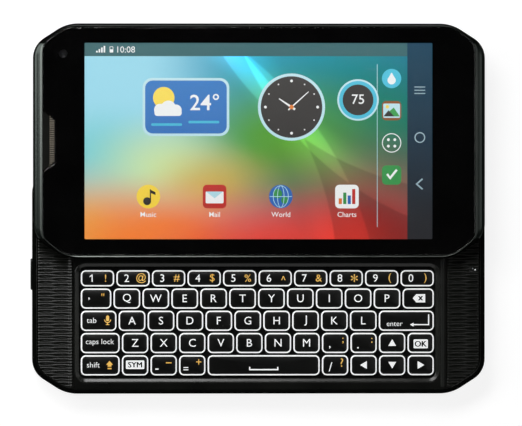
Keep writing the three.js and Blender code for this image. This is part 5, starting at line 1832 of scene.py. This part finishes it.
tree.links.new(maths(tree, "MULTIPLY", seen, 0.85), shader.inputs["Emission Strength"])
below = tree.nodes.new("ShaderNodeNewGeometry").outputs["Backfacing"]
let_through(tree, shader, maths(tree, "ADD", below, light_path.outputs["Is Shadow Ray"], True))
mesh.materials.append(floor_white)
print("floor is metres wide", 2 * floor_half)

# %% [markdown]
# Soft lamps stand round the phone, none of them straight above it, so that the glass shows nothing bright
# when it is looked at from above. Those at the back and the left are small and near, so what they light
# fades along the phone, as it does in the photograph: the front of the key field's rim is bright at the
# left and nearly black at the right.

# %% Lamps
phone_middle = (0, 0.018, 0)


def lamp_at(name, place, size_x, size_y, radiance):
    data = bpy.data.lights.new(name, "AREA")
    data.shape, data.size, data.size_y = "RECTANGLE", size_x, size_y
    data.energy = radiance * math.pi * size_x * size_y
    thing = bpy.data.objects.new(name, data)
    thing.location = place
    aim = Vector(phone_middle) - Vector(place)
    thing.rotation_euler = aim.to_track_quat("-Z", "Y").to_euler()
    thing.visible_camera = False
    bpy.context.scene.collection.objects.link(thing)


lamp_at("lamp_back", (-0.135, 0.32, 0.42), 0.27, 0.2, 7.5)
lamp_at("lamp_left", (-0.275, 0.12, 0.27), 0.16, 0.18, 4.0)
lamp_at("lamp_right", (0.42, 0.1, 0.93), 0.35, 0.3, 1.1)
lamp_at("lamp_front", (0.0, -0.62, 0.87), 1.0, 0.35, 0.5)
lamp_at("lamp_below", (0.1, 0.0, -0.9), 0.8, 0.8, 1.2)
print("lamps", len(bpy.data.lights))

# %% [markdown]
# The room itself is bright at the height of the horizon, more so at the left, and dim overhead, as in a
# studio with white walls and no lit ceiling. The camera always sees white where it looks past the floor.

# %% Room
world = bpy.data.worlds.new("room")
bpy.context.scene.world = world
world.use_nodes = True
tree = world.node_tree
ground = tree.nodes["Background"]
parts = tree.nodes.new("ShaderNodeSeparateXYZ")
tree.links.new(tree.nodes.new("ShaderNodeTexCoord").outputs["Generated"], parts.inputs[0])
height = tree.nodes.new("ShaderNodeMath")
height.operation = "ABSOLUTE"
tree.links.new(parts.outputs["Z"], height.inputs[0])
side_glow = mixed(tree, ramp(tree, parts.outputs["X"], -0.8, 0.8), (0.6, 0.6, 0.6, 1), (0.2, 0.2, 0.2, 1))
dim = mixed(tree, ramp(tree, height.outputs[0], 0.02, 0.5), side_glow, (0.025, 0.025, 0.026, 1))
seen = tree.nodes.new("ShaderNodeLightPath").outputs["Is Camera Ray"]
tree.links.new(mixed(tree, seen, dim, white), ground.inputs["Color"])
print("room", world.name)

# %% [markdown]
# ## Camera
# The photograph looks down at the phone from far off, so that its sides don't show. Its camera stands a
# hair to the left of straight above, which is seen in how the raised lid is shifted against the base. The
# picture's width takes in the phone and a narrow margin, and its middle lies a little above the middle of
# the open phone.

# %% Camera
picture_width, distance, focus_z, lean = 145.9 * MM, 1.99, 12.0 * MM, math.radians(1.9)
view = bpy.data.cameras.new("view")
view.sensor_width, view.lens = 36, 36 * distance / picture_width
view.clip_start, view.clip_end = 0.05, 20
camera = bpy.data.objects.new("view", view)
camera.location = (0.5 * MM - distance * math.sin(lean), 17.6 * MM, focus_z + distance * math.cos(lean))
camera.rotation_euler = (0, -lean, 0)
bpy.context.scene.collection.objects.link(camera)
bpy.context.scene.camera = camera
bpy.context.scene.view_settings.view_transform = "Standard"
print("lens", round(view.lens))
